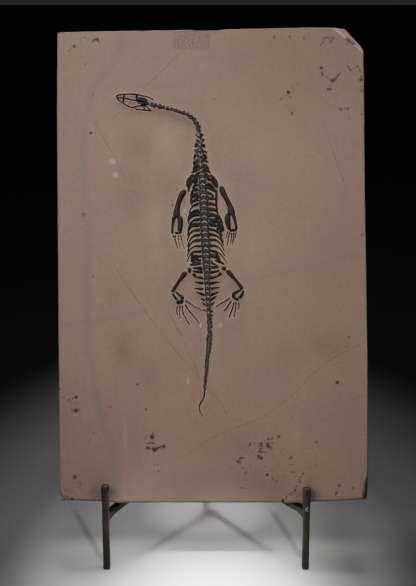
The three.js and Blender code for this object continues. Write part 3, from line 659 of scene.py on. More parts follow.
DIGITS = {
    "finger_left": (
        ((-31.2, 213.8, 1.1), (-31, 211.8, 1)),
        ((-29.8, 213.5, 1.1), (-29.9, 211.4, 1), (-29.4, 209, 1), (-27.6, 202.6, 0.6)),
        ((-27.4, 213.8, 1), (-27.2, 211.6, 0.9), (-26.8, 208.4, 0.7), (-25.3, 201.8, 0.6)),
        ((-25.6, 213.9, 1), (-24.9, 211.4, 0.9), (-24, 208, 0.8), (-22.2, 202.6, 0.6)),
        ((-24, 214.6, 0.8), (-23, 212.6, 0.7)),
    ),
    "finger_right": (
        ((12.5, 217, 0.9), (11.3, 213.5, 0.8), (10.6, 210.4, 0.6)),
        ((13.8, 216.5, 1), (12.8, 211.4, 1), (11.6, 204.9, 0.6)),
        ((15.3, 215.7, 1.1), (15.2, 211.4, 1), (14.1, 207.1, 0.6)),
        ((17, 216.1, 1.1), (16.8, 211.6, 1), (15.7, 205.1, 0.6)),
        ((18.8, 216.9, 1), (18.6, 214, 1), (17.9, 211.1, 0.8)),
    ),
    "toe_left": (
        ((-21.5, 161.5, 1.3), (-19.1, 160, 1.3), (-16.6, 158.5, 1.2), (-14.3, 156.9, 1), (-9.4, 154.6, 1),
         (-7.6, 153.2, 0.8)),
        ((-21.9, 158.5, 1.3), (-18.8, 153.5, 1.3), (-14.8, 149.1, 1.1), (-11.3, 145.1, 1),
         (-10.2, 142.6, 0.8)),
        ((-23.9, 158, 1.2), (-23.9, 152.6, 1.1), (-22.4, 149.2, 1), (-20.2, 145.4, 1), (-17.7, 142, 0.9)),
        ((-25.9, 157.8, 1.1), (-26.2, 151.8, 1), (-25.7, 146.5, 0.8)),
        ((-27.7, 157.7, 1.1), (-28.6, 154.5, 1.1), (-27.9, 149.5, 0.7)),
    ),
    "toe_right": (
        ((14.2, 163.9, 1.3), (12.5, 162.6, 1.2), (8.9, 160.4, 1.1), (5.3, 158.3, 1), (2.4, 156.6, 0.8)),
        ((15.2, 161.5, 1.3), (13.3, 158.8, 1.3), (11.4, 155.6, 1.2), (8.8, 152.9, 1)),
        ((16.9, 160.2, 1.2), (16.6, 156.4, 1.1), (14.9, 152.4, 1), (13, 147.8, 0.9)),
        ((18.6, 160.4, 1.1), (18.6, 155.6, 1.1), (17.9, 151.6, 1), (17, 148.4, 0.9)),
        ((20.4, 160.2, 1.1), (21.1, 157, 1.1), (20.6, 153.8, 0.9)),
    ),
}
LEFT_RIBS = (
    ((-11.1, 254.6, 2), (-12.9, 253.7, 2.3), (-14.7, 252.6, 1.8), (-16.1, 251.1, 1)),
    ((-10.9, 250.3, 1.8), (-13.5, 249.8, 2.1), (-15.5, 249.5, 1.9), (-16.9, 247.6, 1.4),
     (-17.3, 244.4, 1.1)),
    ((-10.7, 246, 2.9), (-13.5, 245.8, 3.4), (-15.7, 245.2, 2.9), (-17, 242.8, 1.8), (-17.4, 239.2, 1.1)),
    ((-10.5, 242.2, 2.1), (-12.9, 242, 2.4), (-15.1, 241, 1.8), (-16.6, 239, 1.3), (-17.2, 237.6, 0.8)),
    ((-10.2, 238.6, 1.9), (-12.7, 238.5, 2.1), (-15, 237.5, 1.5), (-16.9, 235.6, 1.2), (-18, 233.2, 1),
     (-18.6, 230.8, 0.8)),
    ((-10.1, 233.8, 1.8), (-12.7, 233.7, 1.8), (-15.5, 232.8, 1.6), (-17.7, 230.8, 1.4), (-19, 228, 1.3),
     (-19.8, 224.8, 1)),
    ((-10.1, 230.5, 2.7), (-13.1, 230.5, 2.9), (-15.7, 229.6, 2.2), (-17.6, 227.4, 1.4), (-18.7, 224.8, 1),
     (-19.4, 222.8, 0.8)),
    ((-9.9, 226.4, 2.2), (-12.7, 226.2, 2.2), (-15.5, 225.4, 1.8), (-17.7, 223.2, 1.4), (-18.9, 220.2, 1.3),
     (-19.8, 216.8, 1)),
    ((-9.7, 222.1, 2.7), (-12.7, 222.1, 3.2), (-15.4, 221.8, 2.7), (-17.4, 220.2, 1.8), (-18.8, 217.4, 1.4),
     (-19.8, 214, 1)),
    ((-9.5, 217.8, 2.1), (-12.7, 217.8, 2.2), (-15.5, 217.4, 1.8), (-17.7, 215.6, 1.4), (-19.1, 212.6, 1.4),
     (-20, 209.2, 1)),
    ((-9.3, 213.8, 2.1), (-12.5, 213.8, 2.2), (-15.2, 213.2, 1.7), (-17.3, 211.1, 1.3), (-18.8, 208, 1.3),
     (-19.8, 204.4, 1)),
    ((-9.1, 209.7, 2.3), (-12.3, 209.7, 2.2), (-14.9, 209.3, 1.7), (-16.8, 207.8, 1.2), (-18.6, 204.6, 1.2),
     (-19.8, 200.8, 1)),
    ((-9, 204.7, 1.9), (-12, 205.2, 1.9), (-14.7, 204.9, 1.5), (-17.2, 203.1, 1.2), (-19, 200.2, 1.1),
     (-20.2, 196.4, 1)),
    ((-8.6, 200.7, 2.1), (-11.7, 200.6, 1.9), (-14.4, 200.7, 1.8), (-16.3, 200.4, 1.6), (-17.6, 198.3, 1.1),
     (-19.3, 195.3, 1), (-20.5, 191.9, 0.7)),
    ((-8.5, 196.6, 2.1), (-11.1, 196.8, 1.9), (-13.5, 197.8, 1.8), (-15.8, 196.9, 1.8), (-16.8, 194, 1.4)),
    ((-8.3, 192.2, 1.6), (-10.7, 190.8, 1.9), (-13.3, 190.5, 1.8), (-15.1, 189.8, 1.3)),
)
RIGHT_RIBS = (
    ((-5.3, 254.3, 1.9), (-3, 254.5, 2.2), (-1, 253.5, 1.9), (0.8, 251.6, 1.3), (2.1, 249.5, 0.8)),
    ((-4.7, 251.8, 1.4), (-2.3, 251.4, 1.6), (-0.2, 250, 1.3), (1.6, 248.4, 1)),
    ((-4.5, 247.6, 1.4), (-2.2, 247.4, 1.8), (-0.3, 246, 1.5), (1.1, 243.9, 1)),
    ((-4.3, 243.4, 1.8), (-2.1, 243, 1.9), (0.3, 242.8, 1.6), (2.6, 242.5, 1.2)),
    ((-3.8, 239, 1.8), (-1.8, 239, 2), (0.5, 238.6, 1.8), (2.5, 237.4, 1.1)),
    ((-3.5, 234.3, 2.1), (-0.7, 234.6, 2.2), (1.9, 234.1, 1.9), (3.8, 232.2, 1.4), (5.3, 229.6, 1)),
    ((-3.4, 229.8, 2.6), (-0.3, 230, 2.7), (2.7, 229.2, 2.4), (5.2, 227.3, 1.9), (7.2, 224.4, 1.4),
     (8.7, 220.8, 1), (9.6, 217.2, 0.7)),
    ((-3.1, 225.7, 2.6), (-0.2, 225.5, 2.6), (2.9, 225, 2.4), (5.2, 223.1, 1.6), (6.9, 220.1, 1.3),
     (8.2, 216.6, 1)),
    ((-3, 221.8, 2.2), (-0.1, 222, 2.4), (2.9, 221.4, 2.2), (5.2, 219.1, 1.4), (6.9, 215.8, 1.3),
     (8.4, 212.6, 1)),
    ((-2.8, 218.1, 2), (0.2, 218.2, 2.1), (3, 217.2, 1.8), (5.3, 215.1, 1.4), (7.2, 211.8, 1.3),
     (8.8, 208.1, 1)),
    ((-2.7, 214, 2.1), (0.3, 214.2, 2.2), (3.1, 213.5, 1.8), (5.3, 211.7, 1.3), (7.4, 209, 1.3),
     (9.1, 205.5, 1)),
    ((-2.6, 209.8, 2.2), (0.5, 210.2, 2.2), (3.4, 209.8, 1.6), (5.8, 207.9, 1.2), (7.9, 204.9, 1.2),
     (9.6, 200.9, 1)),
    ((-2.5, 205.2, 2.2), (0.5, 205.6, 2.2), (3.5, 205, 1.6), (5.9, 203.3, 1.2), (8.2, 200.4, 1.2),
     (10, 196.7, 1)),
    ((-2.2, 201, 2.1), (0.7, 201.2, 2.1), (3.5, 200.6, 1.6), (6.1, 198.8, 1.2), (8.5, 196.4, 1.1),
     (10.4, 193.5, 0.9), (11.5, 190.8, 0.6)),
    ((-2.1, 196.6, 2.1), (0.6, 197, 2.2), (2.9, 195.9, 2.1), (5, 193.7, 2.1), (6.9, 191.8, 1.9)),
    ((-1.6, 191.9, 1.6), (0.6, 191.3, 1.4), (3.2, 189.7, 1), (4.6, 188.9, 0.6)),
)
LEFT_SPINES = (
    ((-7.9, 187.4, 2.4), (-11.5, 187.4, 1.9), (-15.3, 187.4, 1.1)),
    ((-7.8, 184.2, 2.1), (-11.1, 184.6, 1.8), (-15.4, 185, 1.1)),
    ((-7.8, 179.4, 2.2), (-10.3, 180.1, 1.5), (-13.5, 180.4, 1), (-14.7, 181.8, 2.1)),
    ((-7.8, 175.4, 2.2), (-10.7, 175.9, 1.6), (-14.2, 176.2, 0.7)),
    ((-7.7, 170.8, 2.1), (-10.3, 171.1, 1.5), (-14.4, 171.3, 0.7)),
    ((-5.9, 166, 2.1), (-8.7, 167, 1.8), (-13, 168.4, 0.7)),
    ((-5.1, 162, 1.6), (-7.1, 162.3, 1.5), (-9.4, 162.9, 1)),
    ((-5.6, 157.7, 1), (-6.7, 158.5, 1.3), (-8.2, 160.2, 0.8)),
    ((-5.1, 153.2, 1), (-6.2, 153.8, 1.3), (-7.3, 154.3, 0.8)),
)
RIGHT_SPINES = (
    ((-0.8, 188.2, 1.8), (2.5, 187.9, 1.6), (5, 188.1, 0.8)),
    ((-1, 184.2, 2.2), (2.1, 184.6, 1.8), (5.9, 185.5, 0.8)),
    ((-1, 179.6, 2.2), (1.7, 180.2, 1.4), (4.3, 181, 1), (6.2, 183, 2.1)),
    ((-1, 175.4, 2.1), (2.1, 176.1, 1.3), (6.4, 176.4, 0.6)),
    ((-1.4, 170.8, 2.1), (1.7, 171.8, 1.4), (5.9, 172.3, 0.6)),
    ((-1.9, 166, 2.1), (1.3, 167.1, 1.5), (5.1, 168.6, 0.6)),
    ((-2.1, 161.8, 1.8), (0.5, 163.4, 1.5), (3.5, 165.4, 0.6)),
    ((-1.4, 157.8, 1.3), (0.2, 159.1, 1.2), (1.9, 160.7, 0.7)),
    ((-1.6, 153.2, 1), (-0.2, 153.2, 1.2), (0.5, 153, 0.8)),
    ((-2.2, 149.4, 1), (0.5, 149.7, 0.6)),
)
LEFT_NECK_RIBS = (
    ((-11.8, 290.6, 1.1), (-13.4, 289.8, 1.4)),
    ((-12.4, 287.3, 0.8), (-13.5, 286.2, 1.3), (-13.6, 283.9, 1)),
    ((-11.5, 281.4, 1.3), (-13.2, 281.1, 1.8), (-14.1, 281.8, 1)),
    ((-12.8, 279.7, 1), (-13.8, 277.5, 1.5), (-14.8, 274.5, 1)),
    ((-11.2, 273.8, 1.1), (-13.3, 273.4, 1.7), (-14.2, 271.6, 1.9), (-15, 270.3, 1.2)),
    ((-11.5, 270.3, 1.3), (-13.4, 269.2, 2), (-14.6, 267.3, 1.5), (-15.5, 266, 0.8)),
    ((-9.9, 268.2, 1.3), (-12.2, 266.6, 1.6), (-14.4, 265, 1.8), (-16.8, 263.3, 0.8)),
    ((-10.2, 264.1, 1.3), (-12, 262.3, 2.4), (-13.2, 259.6, 2.8), (-13.6, 257, 2.6), (-13.9, 255.3, 1.8)),
)
RIGHT_NECK_RIBS = (
    ((-9.3, 292.9, 1.1), (-7.8, 294.2, 1.4)),
    ((-8.8, 288.9, 1.4), (-7.2, 290, 1.3), (-6.6, 291, 0.7)),
    ((-6.9, 286.5, 1.1), (-6.1, 283.9, 1)),
    ((-8.3, 280.1, 1.3), (-6.1, 281.2, 1.6), (-4.3, 279.1, 0.8)),
    ((-8.8, 278.5, 1.2), (-6.4, 277.8, 1.7), (-4.8, 275.3, 1.4)),
    ((-8.3, 274.6, 1.3), (-5.6, 273.4, 1.6), (-3.2, 271.6, 0.7)),
    ((-7.5, 268.6, 1.3), (-6, 270.8, 1.5), (-4.6, 268.6, 1.8), (-3.3, 266.3, 1.4)),
    ((-6.7, 267.3, 1.2), (-5.3, 265.7, 1.5), (-3.4, 264.9, 1.7), (-1.3, 263.6, 0.8)),
    ((-7.4, 263.9, 1.3), (-5.1, 262.6, 1.9), (-3.4, 259.8, 2.3), (-2.3, 257.4, 1.6)),
)
# A rib pushed out of place, along the right side of the chest.
STRAY_RIB = ((3.1, 249.6, 1.3), (3.1, 243.6, 1.4), (3, 236.8, 1.1), (3.8, 233.2, 1))

# ---- marks in the stone: right, up

CRACKS = (
    ((-23, 362), (-41.5, 343.4), (-57.9, 327.6), (-72.6, 312.6), (-80.6, 306)),
    ((-95.3, 306), (-87, 290.8), (-79.8, 278.8), (-67.3, 255.6)),
    ((-77, 187), (-65.9, 170), (-44.6, 140.4), (-23.3, 114), (-9.9, 99.6), (3.4, 84.4), (11.4, 71.6),
     (16.2, 62)),
    ((-57.9, 23.6), (-36.6, 31.6), (-15.5, 40.4), (-4.6, 50), (16.5, 59.6), (40.5, 68.4), (62.1, 84.4),
     (80.5, 103.6), (96.5, 115.6), (120.5, 127.6)),
    ((88.5, 306), (96.5, 279.6), (104.5, 258), (107.7, 242)),
    ((109.4, 80.7), (114.8, 84.3), (117.7, 85.4), (122.9, 85)),
    ((-26.7, 376.5), (-5.1, 375.8), (8, 375.5), (11.7, 377.9)),
)
SIDE_CRACK = ((-37, 156), (-31.5, 146), (-25.9, 135.6), (-17.9, 118), (-10.7, 102.4))
UPRIGHT_VEIN = (
    (-69.9, 372.4), (-79.5, 351.6), (-95.5, 330), (-101.9, 306), (-103.5, 279.6), (-101.9, 252.4),
    (-100.3, 231.6), (-98.7, 199.6), (-99.5, 159.6), (-100.3, 132.4), (-94.9, 92.4), (-86.9, 66),
    (-79.5, 39.6), (-77, 10),
)
LEVEL_VEIN = (
    (-121.9, 142), (-95.5, 144.4), (-71.5, 148.4), (-47.5, 156.4), (-31.5, 158), (-15.5, 163.6), (8.5, 170),
    (30.1, 178), (56.5, 184.4), (83.7, 190), (120.5, 199.6),
)
# Dark specks: right, up, size and how dark each one is.
SPECKS = (
    (-110.2, 364.5, 1.3, 0.8), (-94.6, 369.5, 1, 0.7), (-91.9, 370.2, 1.2, 0.9), (-90.5, 368.1, 0.8, 0.7),
    (-96.2, 368.1, 0.8, 0.5), (-101.3, 350.2, 0.8, 0.5), (-114.4, 360.9, 0.8, 0.4),
    (-101.9, 371.7, 0.9, 0.4), (-97.1, 295.3, 1.1, 0.9), (-95.3, 326.3, 1, 0.35), (-103.1, 230.2, 1.7, 0.4),
    (-28.4, 250.5, 0.7, 0.7), (-32, 240.9, 0.7, 0.6), (-31.7, 237.7, 0.8, 0.9), (-21.9, 239.7, 0.6, 0.5),
    (49.4, 371.9, 1.2, 0.5), (61.7, 372.3, 1.1, 0.6), (73.1, 371.1, 0.8, 0.5), (77.3, 371.9, 0.6, 0.4),
    (86.8, 365.7, 0.8, 0.5), (88.4, 368.1, 0.7, 0.5), (89.2, 371.1, 0.7, 0.6), (91.8, 371.4, 0.8, 0.7),
    (94.6, 368.1, 0.9, 0.6), (96.6, 371.1, 0.9, 0.8), (86.8, 347.2, 1.2, 0.9), (88, 341.8, 1, 0.6),
    (85.9, 340, 0.8, 0.5), (95.8, 337, 1.4, 0.9), (98.2, 338.2, 1, 0.7), (100, 341.2, 1, 0.7),
    (101.7, 343.3, 0.8, 0.6), (94.2, 338.2, 0.8, 0.6), (92.2, 330.2, 1, 0.8), (94.3, 330.2, 0.9, 0.7),
    (91.4, 340, 0.6, 0.4), (60.6, 327.7, 1.3, 1), (54.9, 322.1, 1.1, 0.5), (63.5, 311, 1.3, 0.6),
    (62.9, 323, 0.7, 0.4), (68.3, 334.7, 1, 0.35), (102.3, 314.4, 1.2, 0.6), (108, 314.7, 1.1, 0.5),
    (110.1, 345.4, 1, 0.7), (108.3, 348.4, 0.8, 0.6), (115.7, 348.4, 1.1, 0.5), (118.5, 344.2, 0.8, 0.7),
    (118.8, 341.2, 0.8, 0.6), (118.6, 337.6, 1.5, 0.8), (119.1, 328.7, 1.3, 0.6), (118.8, 310.5, 0.9, 0.5),
    (119.7, 214.1, 1.4, 0.4), (109.5, 307, 0.9, 0.3), (2.3, 322.1, 1.1, 0.3), (42.4, 378.6, 0.8, 0.6),
    (-3.9, 372.3, 1, 0.35), (-95.1, 180.6, 0.9, 0.6), (-59.5, 94.7, 0.9, 0.8), (-53.1, 74.7, 1, 0.6),
    (-108.7, 84.5, 1.4, 0.8), (-114.4, 82.4, 0.9, 0.6), (-119.2, 83.9, 0.8, 0.4), (-121.8, 91.1, 0.9, 0.6),
    (-108.7, 73.8, 1.8, 0.9), (-111.8, 73.8, 0.9, 0.6), (-106.6, 74.4, 0.8, 0.5), (-48, 52.7, 1.7, 1),
    (-47.5, 56.1, 0.7, 0.7), (-51.7, 43.9, 1.4, 0.9), (-46.3, 42.7, 2, 1), (-42.8, 44.1, 1.1, 0.9),
    (-38.9, 45.1, 1.4, 0.9), (-42.5, 25.4, 0.9, 0.6), (-53.5, 51.1, 0.7, 0.4), (-46.3, 25.4, 0.8, 0.4),
    (-109.9, 20.6, 1.8, 0.6), (-104.8, 15, 0.7, 0.4), (-112, 3.3, 1.2, 0.9), (-120.1, 5.1, 1.2, 0.9),
    (-94.7, 55.9, 0.8, 0.35), (-55.3, 58.8, 0.6, 0.35), (-66, 170.5, 0.8, 0.3), (-81.6, 76.7, 1.2, 0.3),
    (99.7, 96.2, 1.3, 1), (108.9, 132.3, 1.1, 0.45), (107.7, 125.1, 0.8, 0.3), (107.7, 120.9, 0.8, 0.3),
    (82.9, 48.7, 1, 0.6), (29.9, 47.3, 0.9, 0.7), (28.9, 43.3, 0.6, 0.3), (38, 47.7, 0.9, 0.8),
    (37.6, 45.3, 1, 0.8), (38, 42.5, 0.9, 0.8), (36.9, 37.2, 1.3, 0.9), (39.1, 35.8, 1.3, 0.9),
    (22.6, 36, 1.1, 0.9), (24.7, 36, 0.8, 0.8), (20.6, 33.2, 1.3, 0.9), (22.1, 31.3, 0.7, 0.6),
    (44.8, 51.1, 1.1, 0.7), (44.1, 45.7, 1.5, 0.9), (47.1, 44.1, 0.7, 0.5), (52.9, 53.2, 1.4, 0.8),
    (50.8, 51.7, 0.7, 0.5), (62.6, 36.4, 1.2, 0.7), (61.1, 34.4, 0.7, 0.4), (43.8, 22.4, 1.2, 0.9),
    (51.6, 17.4, 0.9, 0.6), (26.5, 24.2, 1, 0.6), (22.9, 12.1, 0.8, 0.6), (26.2, 11.8, 0.8, 0.6),
    (63.8, 24.8, 0.9, 0.6), (69.1, 18.6, 0.8, 0.5), (72.3, 23.4, 0.9, 0.7), (69.9, 16.8, 1, 0.7),
    (65.9, 10.4, 1, 0.9), (61.7, 6.9, 0.8, 0.5), (56.3, 1.9, 1.3, 1), (101.1, 13.9, 1.2, 0.7),
    (98.8, 7.3, 1.1, 0.7), (112.5, 11.9, 1, 0.6), (118.6, 50.5, 0.7, 0.4), (82.6, 30.2, 0.8, 0.35),
    (63.8, 68.4, 0.9, 0.3), (12.2, 24.6, 0.7, 0.3), (47.4, 42.1, 0.6, 0.4), (78.5, 6.9, 0.7, 0.4),
    (107.7, 370.8, 1.6, 0.9), (110.1, 368.8, 1.4, 0.9), (112.5, 366.8, 1.2, 0.8), (106.5, 371.6, 1, 0.7),
)
# Soft patches: right, up, reach across, reach up the face and strength.
ROSY_PATCHES = (
    (-90.7, 358.8, 8.8, 8.8, 0.8), (-100.3, 345.2, 7.2, 10.4, 0.9), (-109.9, 333.2, 6.4, 9.6, 0.6),
    (-113.9, 270, 7.2, 24, 1), (-112.3, 243.6, 6.4, 12.8, 0.9), (-115.5, 306, 5.6, 17.6, 0.5),
    (-48.3, 176.4, 11.2, 11.2, 0.5), (-45.1, 128.4, 8, 12.8, 0.6), (-28.3, 106, 12.8, 19.2, 0.8),
    (-21.1, 75.6, 10.4, 17.6, 0.8), (15.7, 104.4, 16, 24, 0.5), (74.9, 153.2, 11.2, 8, 0.5),
    (56.5, 152.4, 7.2, 6.4, 0.3), (-53.9, 309.2, 10.4, 2.8, 0.9), (-41.9, 324.8, 4.8, 1.6, 0.6),
    (-33.9, 321.2, 4.8, 1.6, 0.4), (4.5, 291.6, 4.8, 8, 0.5), (25.3, 242, 3.2, 11.2, 0.7),
    (22.1, 219.6, 3.2, 9.6, 0.5), (70.1, 85.2, 7.2, 11.2, 0.4), (30.1, 138, 12.8, 16, 0.3),
    (-113.9, 213.2, 5.6, 16, 0.4), (-13.1, 290, 3.2, 14.4, 0.4), (-118.7, 50, 4, 32, 0.3),
)
OLIVE_PATCHES = (
    (-58.7, 284.4, 11.2, 12, 0.9), (-63.5, 245.2, 10.4, 19.2, 0.8), (-37.9, 254, 8, 12.8, 0.4),
    (-70.7, 123.6, 8.8, 16, 0.9), (-49.9, 101.2, 6.4, 11.2, 0.6), (-77.1, 162, 8, 16, 0.4),
    (90.9, 126.8, 16, 12.8, 0.7), (62.1, 118, 12.8, 9.6, 0.4), (-64.3, 326, 9.6, 3.2, 0.7),
    (-44.3, 332.4, 16, 2.4, 0.4), (-9.9, 319.6, 5.6, 6.4, 0.4), (21.3, 258, 6.4, 4.8, 0.4),
    (-102.7, 230, 2.4, 3.2, 0.8), (-57.9, 42, 24, 20.8, 0.3), (70.1, 330, 32, 32, 0.3),
    # The last two patches here, over the top right and the bottom middle, are painted shade: they darken the
    # face where more light falls.
    (-95.5, 14, 24, 14.4, 0.3), (94.1, 194, 20.8, 40, 0.3), (45, 358, 60, 30, 0.3), (0, 20, 70, 20, 0.3),
)
PALE_PATCHES = (
    (-37.1, 290, 11.2, 14.4, 0.5), (-46.7, 224.4, 9.6, 14.4, 0.6), (6.9, 245.2, 8, 16, 0.7),
    (2.1, 213.2, 6.4, 24, 0.4), (-81.9, 354, 4.8, 4.8, 0.3), (-69.1, 328.4, 4, 6.4, 0.4),
    (-97.9, 114, 1.8, 17.6, 0.7), (-69.6, 53.2, 1.4, 16, 0.7), (67.7, 56.4, 1.8, 12.8, 0.6),
    (70.9, 86.8, 5.6, 8, 0.4), (73.3, 223.6, 4.8, 1.3, 0.6), (80.9, 258, 1.3, 4.8, 0.4),
    (-19.5, 97.2, 2, 3.2, 0.6), (-88.3, 168, 1.4, 1.6, 0.6), (-70.2, 45.2, 1.3, 2.4, 0.5),
    (28.5, 206.8, 17.6, 20.8, 0.5), (39.7, 282, 16, 19.2, 0.3), (-41.9, 198, 9.6, 11.2, 0.3),
    (2.9, 122, 4, 32, 0.4), (-5.9, 122, 2.4, 48, 0.3),
)


# ---- bones


# A bone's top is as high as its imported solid's: its height above this seat.
SEAT = 0.3


class Crown(Enum):
    """How high each kind of bone stands above its seat, in millimetres."""

    LIMB = 2.2
    COLUMN = 2.3
    GIRDLE = 1.8
    RIB = 1.4
    SKULL = 1.4
    BRAINCASE = 2.0
    DIGIT = 0.9
    CRUSHED = 1.0


class Ring(NamedTuple):
    """A section of a bone."""

    middle: Vector
    angle: float
    half: float
    tall: float


@dataclass(frozen=True)
class Bar:
    """A bone that runs along its stations, half sunk in the stone.

    Attributes:
        stations: Place on the face and width, in millimetres, one after another.
        crown: How high it stands.
        sides: Corners of its section before it is smoothed.
        blunt: How far its ends run on, as a share of their width.
    """

    stations: tuple[Station, ...]
    crown: Crown
    sides: int = 10
    blunt: float = 0.3

    def _tangent(self, index: int) -> Vector:
        """Finds the way along the bone at a station.

        Args:
            index: The station's number.

        Returns:
            The way, one millimetre long.
        """
        before = self.stations[max(index - 1, 0)]
        after = self.stations[min(index + 1, len(self.stations) - 1)]
        return Vector((after[0] - before[0], after[1] - before[1], 0)).normalized()

    def _rings(self) -> list[Ring]:
        """Works out the bone's sections, with a smaller one past each end.

        Returns:
            The sections in order.
        """
        widest = max(station[2] for station in self.stations)
        rings, ends = [], []
        for index, (right, up, width) in enumerate(self.stations):
            tangent = self._tangent(index)
            top = SEAT + self.crown.value * (0.6 + 0.4 * width / widest)
            half = 0.5 * (top + self.sink)
            centre = Vector((right, up, top - half))
            angle = math.atan2(tangent.y, tangent.x)
            past = tangent * self.blunt * width
            ends.append([Ring(centre + way, angle, 0.3 * width, 0.62 * half) for way in (-past, past)])
            rings.append(Ring(centre, angle, 0.53 * width, half))
        return [ends[0][0], *rings, ends[-1][1]]

    @property
    def sink(self) -> float:
        """How far the bone reaches below the face."""
        return 0.45 + 0.45 * self.crown.value

    def build(self) -> bpy.types.Object:
        """Extrudes the bone ring by ring.

        Returns:
            The bone.
        """
        rings = self._rings()
        first = rings[0]
        place = {"location": first.middle, "rotation": (math.pi / 2, 0, first.angle + math.pi / 2)}
        Bench.clear()
        bpy.ops.mesh.primitive_circle_add(vertices=self.sides, radius=1, fill_type="NGON", **place)
        bone = Bench.settle(bpy.context.object)
        with Bench.editing(bone):
            size = (first.half, first.half, first.tall)
            bpy.ops.transform.resize(value=size, center_override=first.middle)
            for old, new in zip(rings, rings[1:]):
                Bench.extrude(new.middle - old.middle)
                veer = (new.angle - old.angle + math.pi) % (2 * math.pi) - math.pi
                bpy.ops.transform.rotate(value=-veer, orient_axis="Z", center_override=new.middle)
                spread = new.half / old.half
                change = (spread, spread, new.tall / old.tall)
                bpy.ops.transform.resize(value=change, center_override=new.middle)
        Bench.face_outwards(bone)
        return bone


@dataclass(frozen=True)
class Plate:
    """A flat bone with an outline of its own."""

    outline: tuple[Point, ...]
    crown: Crown
    round_off: float = 0.5
    sink: float = 0.5

    def build(self) -> bpy.types.Object:
        """Raises the outline and rounds its upper edge.

        Returns:
            The bone.
        """
        Bench.clear()
        bpy.ops.mesh.primitive_circle_add(vertices=len(self.outline), radius=1, fill_type="NGON")
        plate = bpy.context.object
        for vertex, (right, up) in zip(plate.data.vertices, self.outline):
            vertex.co = (right, up, -self.sink)
        with Bench.editing(plate):
            Bench.extrude((0, 0, self.sink + SEAT + 0.55 * self.crown.value))
            bpy.ops.mesh.inset(thickness=self.round_off)
            bpy.ops.transform.translate(value=(0, 0, 0.35 * self.crown.value))
            bpy.ops.mesh.inset(thickness=0.6 * self.round_off)
            bpy.ops.transform.translate(value=(0, 0, 0.1 * self.crown.value))
        Bench.face_outwards(plate)
        return plate


@dataclass(frozen=True)
class Knob:
    """A rounded lump of bone."""

    right: float
    up: float
    half_right: float
    half_up: float
    crown: Crown = Crown.GIRDLE
    sink: float = 1.0

    def build(self) -> bpy.types.Object:
        """Swells a sphere to the lump's size.

        Returns:
            The lump.
        """
        top = SEAT + self.crown.value
        half = 0.5 * (top + self.sink)
        place = (self.right, self.up, top - half)
        Bench.clear()
        bpy.ops.mesh.primitive_uv_sphere_add(segments=14, ring_count=9, location=place)
        lump = bpy.context.object
        lump.scale = (self.half_right, self.half_up, half)
        return Bench.settle(lump)


@dataclass(frozen=True)
class Digit:
    """A finger or toe: waisted bones between its joints, a little apart."""

    joints: tuple[Station, ...]
    gap: float = 0.16
    stout: float = 1.15
    waist: tuple[Point, ...] = ((0.0, 1.0), (0.22, 0.86), (0.5, 0.66), (0.78, 0.8), (1.0, 0.96))

    def build(self) -> bpy.types.Object:
        """Builds the bones of the digit.

        Returns:
            All of them as one object.
        """
        bones = []
        for (right, up, width), (next_right, next_up, next_width) in zip(self.joints, self.joints[1:]):
            start = Vector((right, up, 0))
            end = Vector((next_right, next_up, 0))
            length = (end - start).length
            stations = []
            for share, fullness in self.waist:
                along = self.gap + 0.3 * width + share * (length - 2 * self.gap - 0.3 * (width + next_width))
                place = start + (end - start) * (along / length)
                broad = self.stout * fullness * (width + (next_width - width) * share)
                stations.append((place.x, place.y, broad))
            bones.append(Bar(tuple(stations), Crown.DIGIT, sides=8).build())
        return Bench.join(bones)


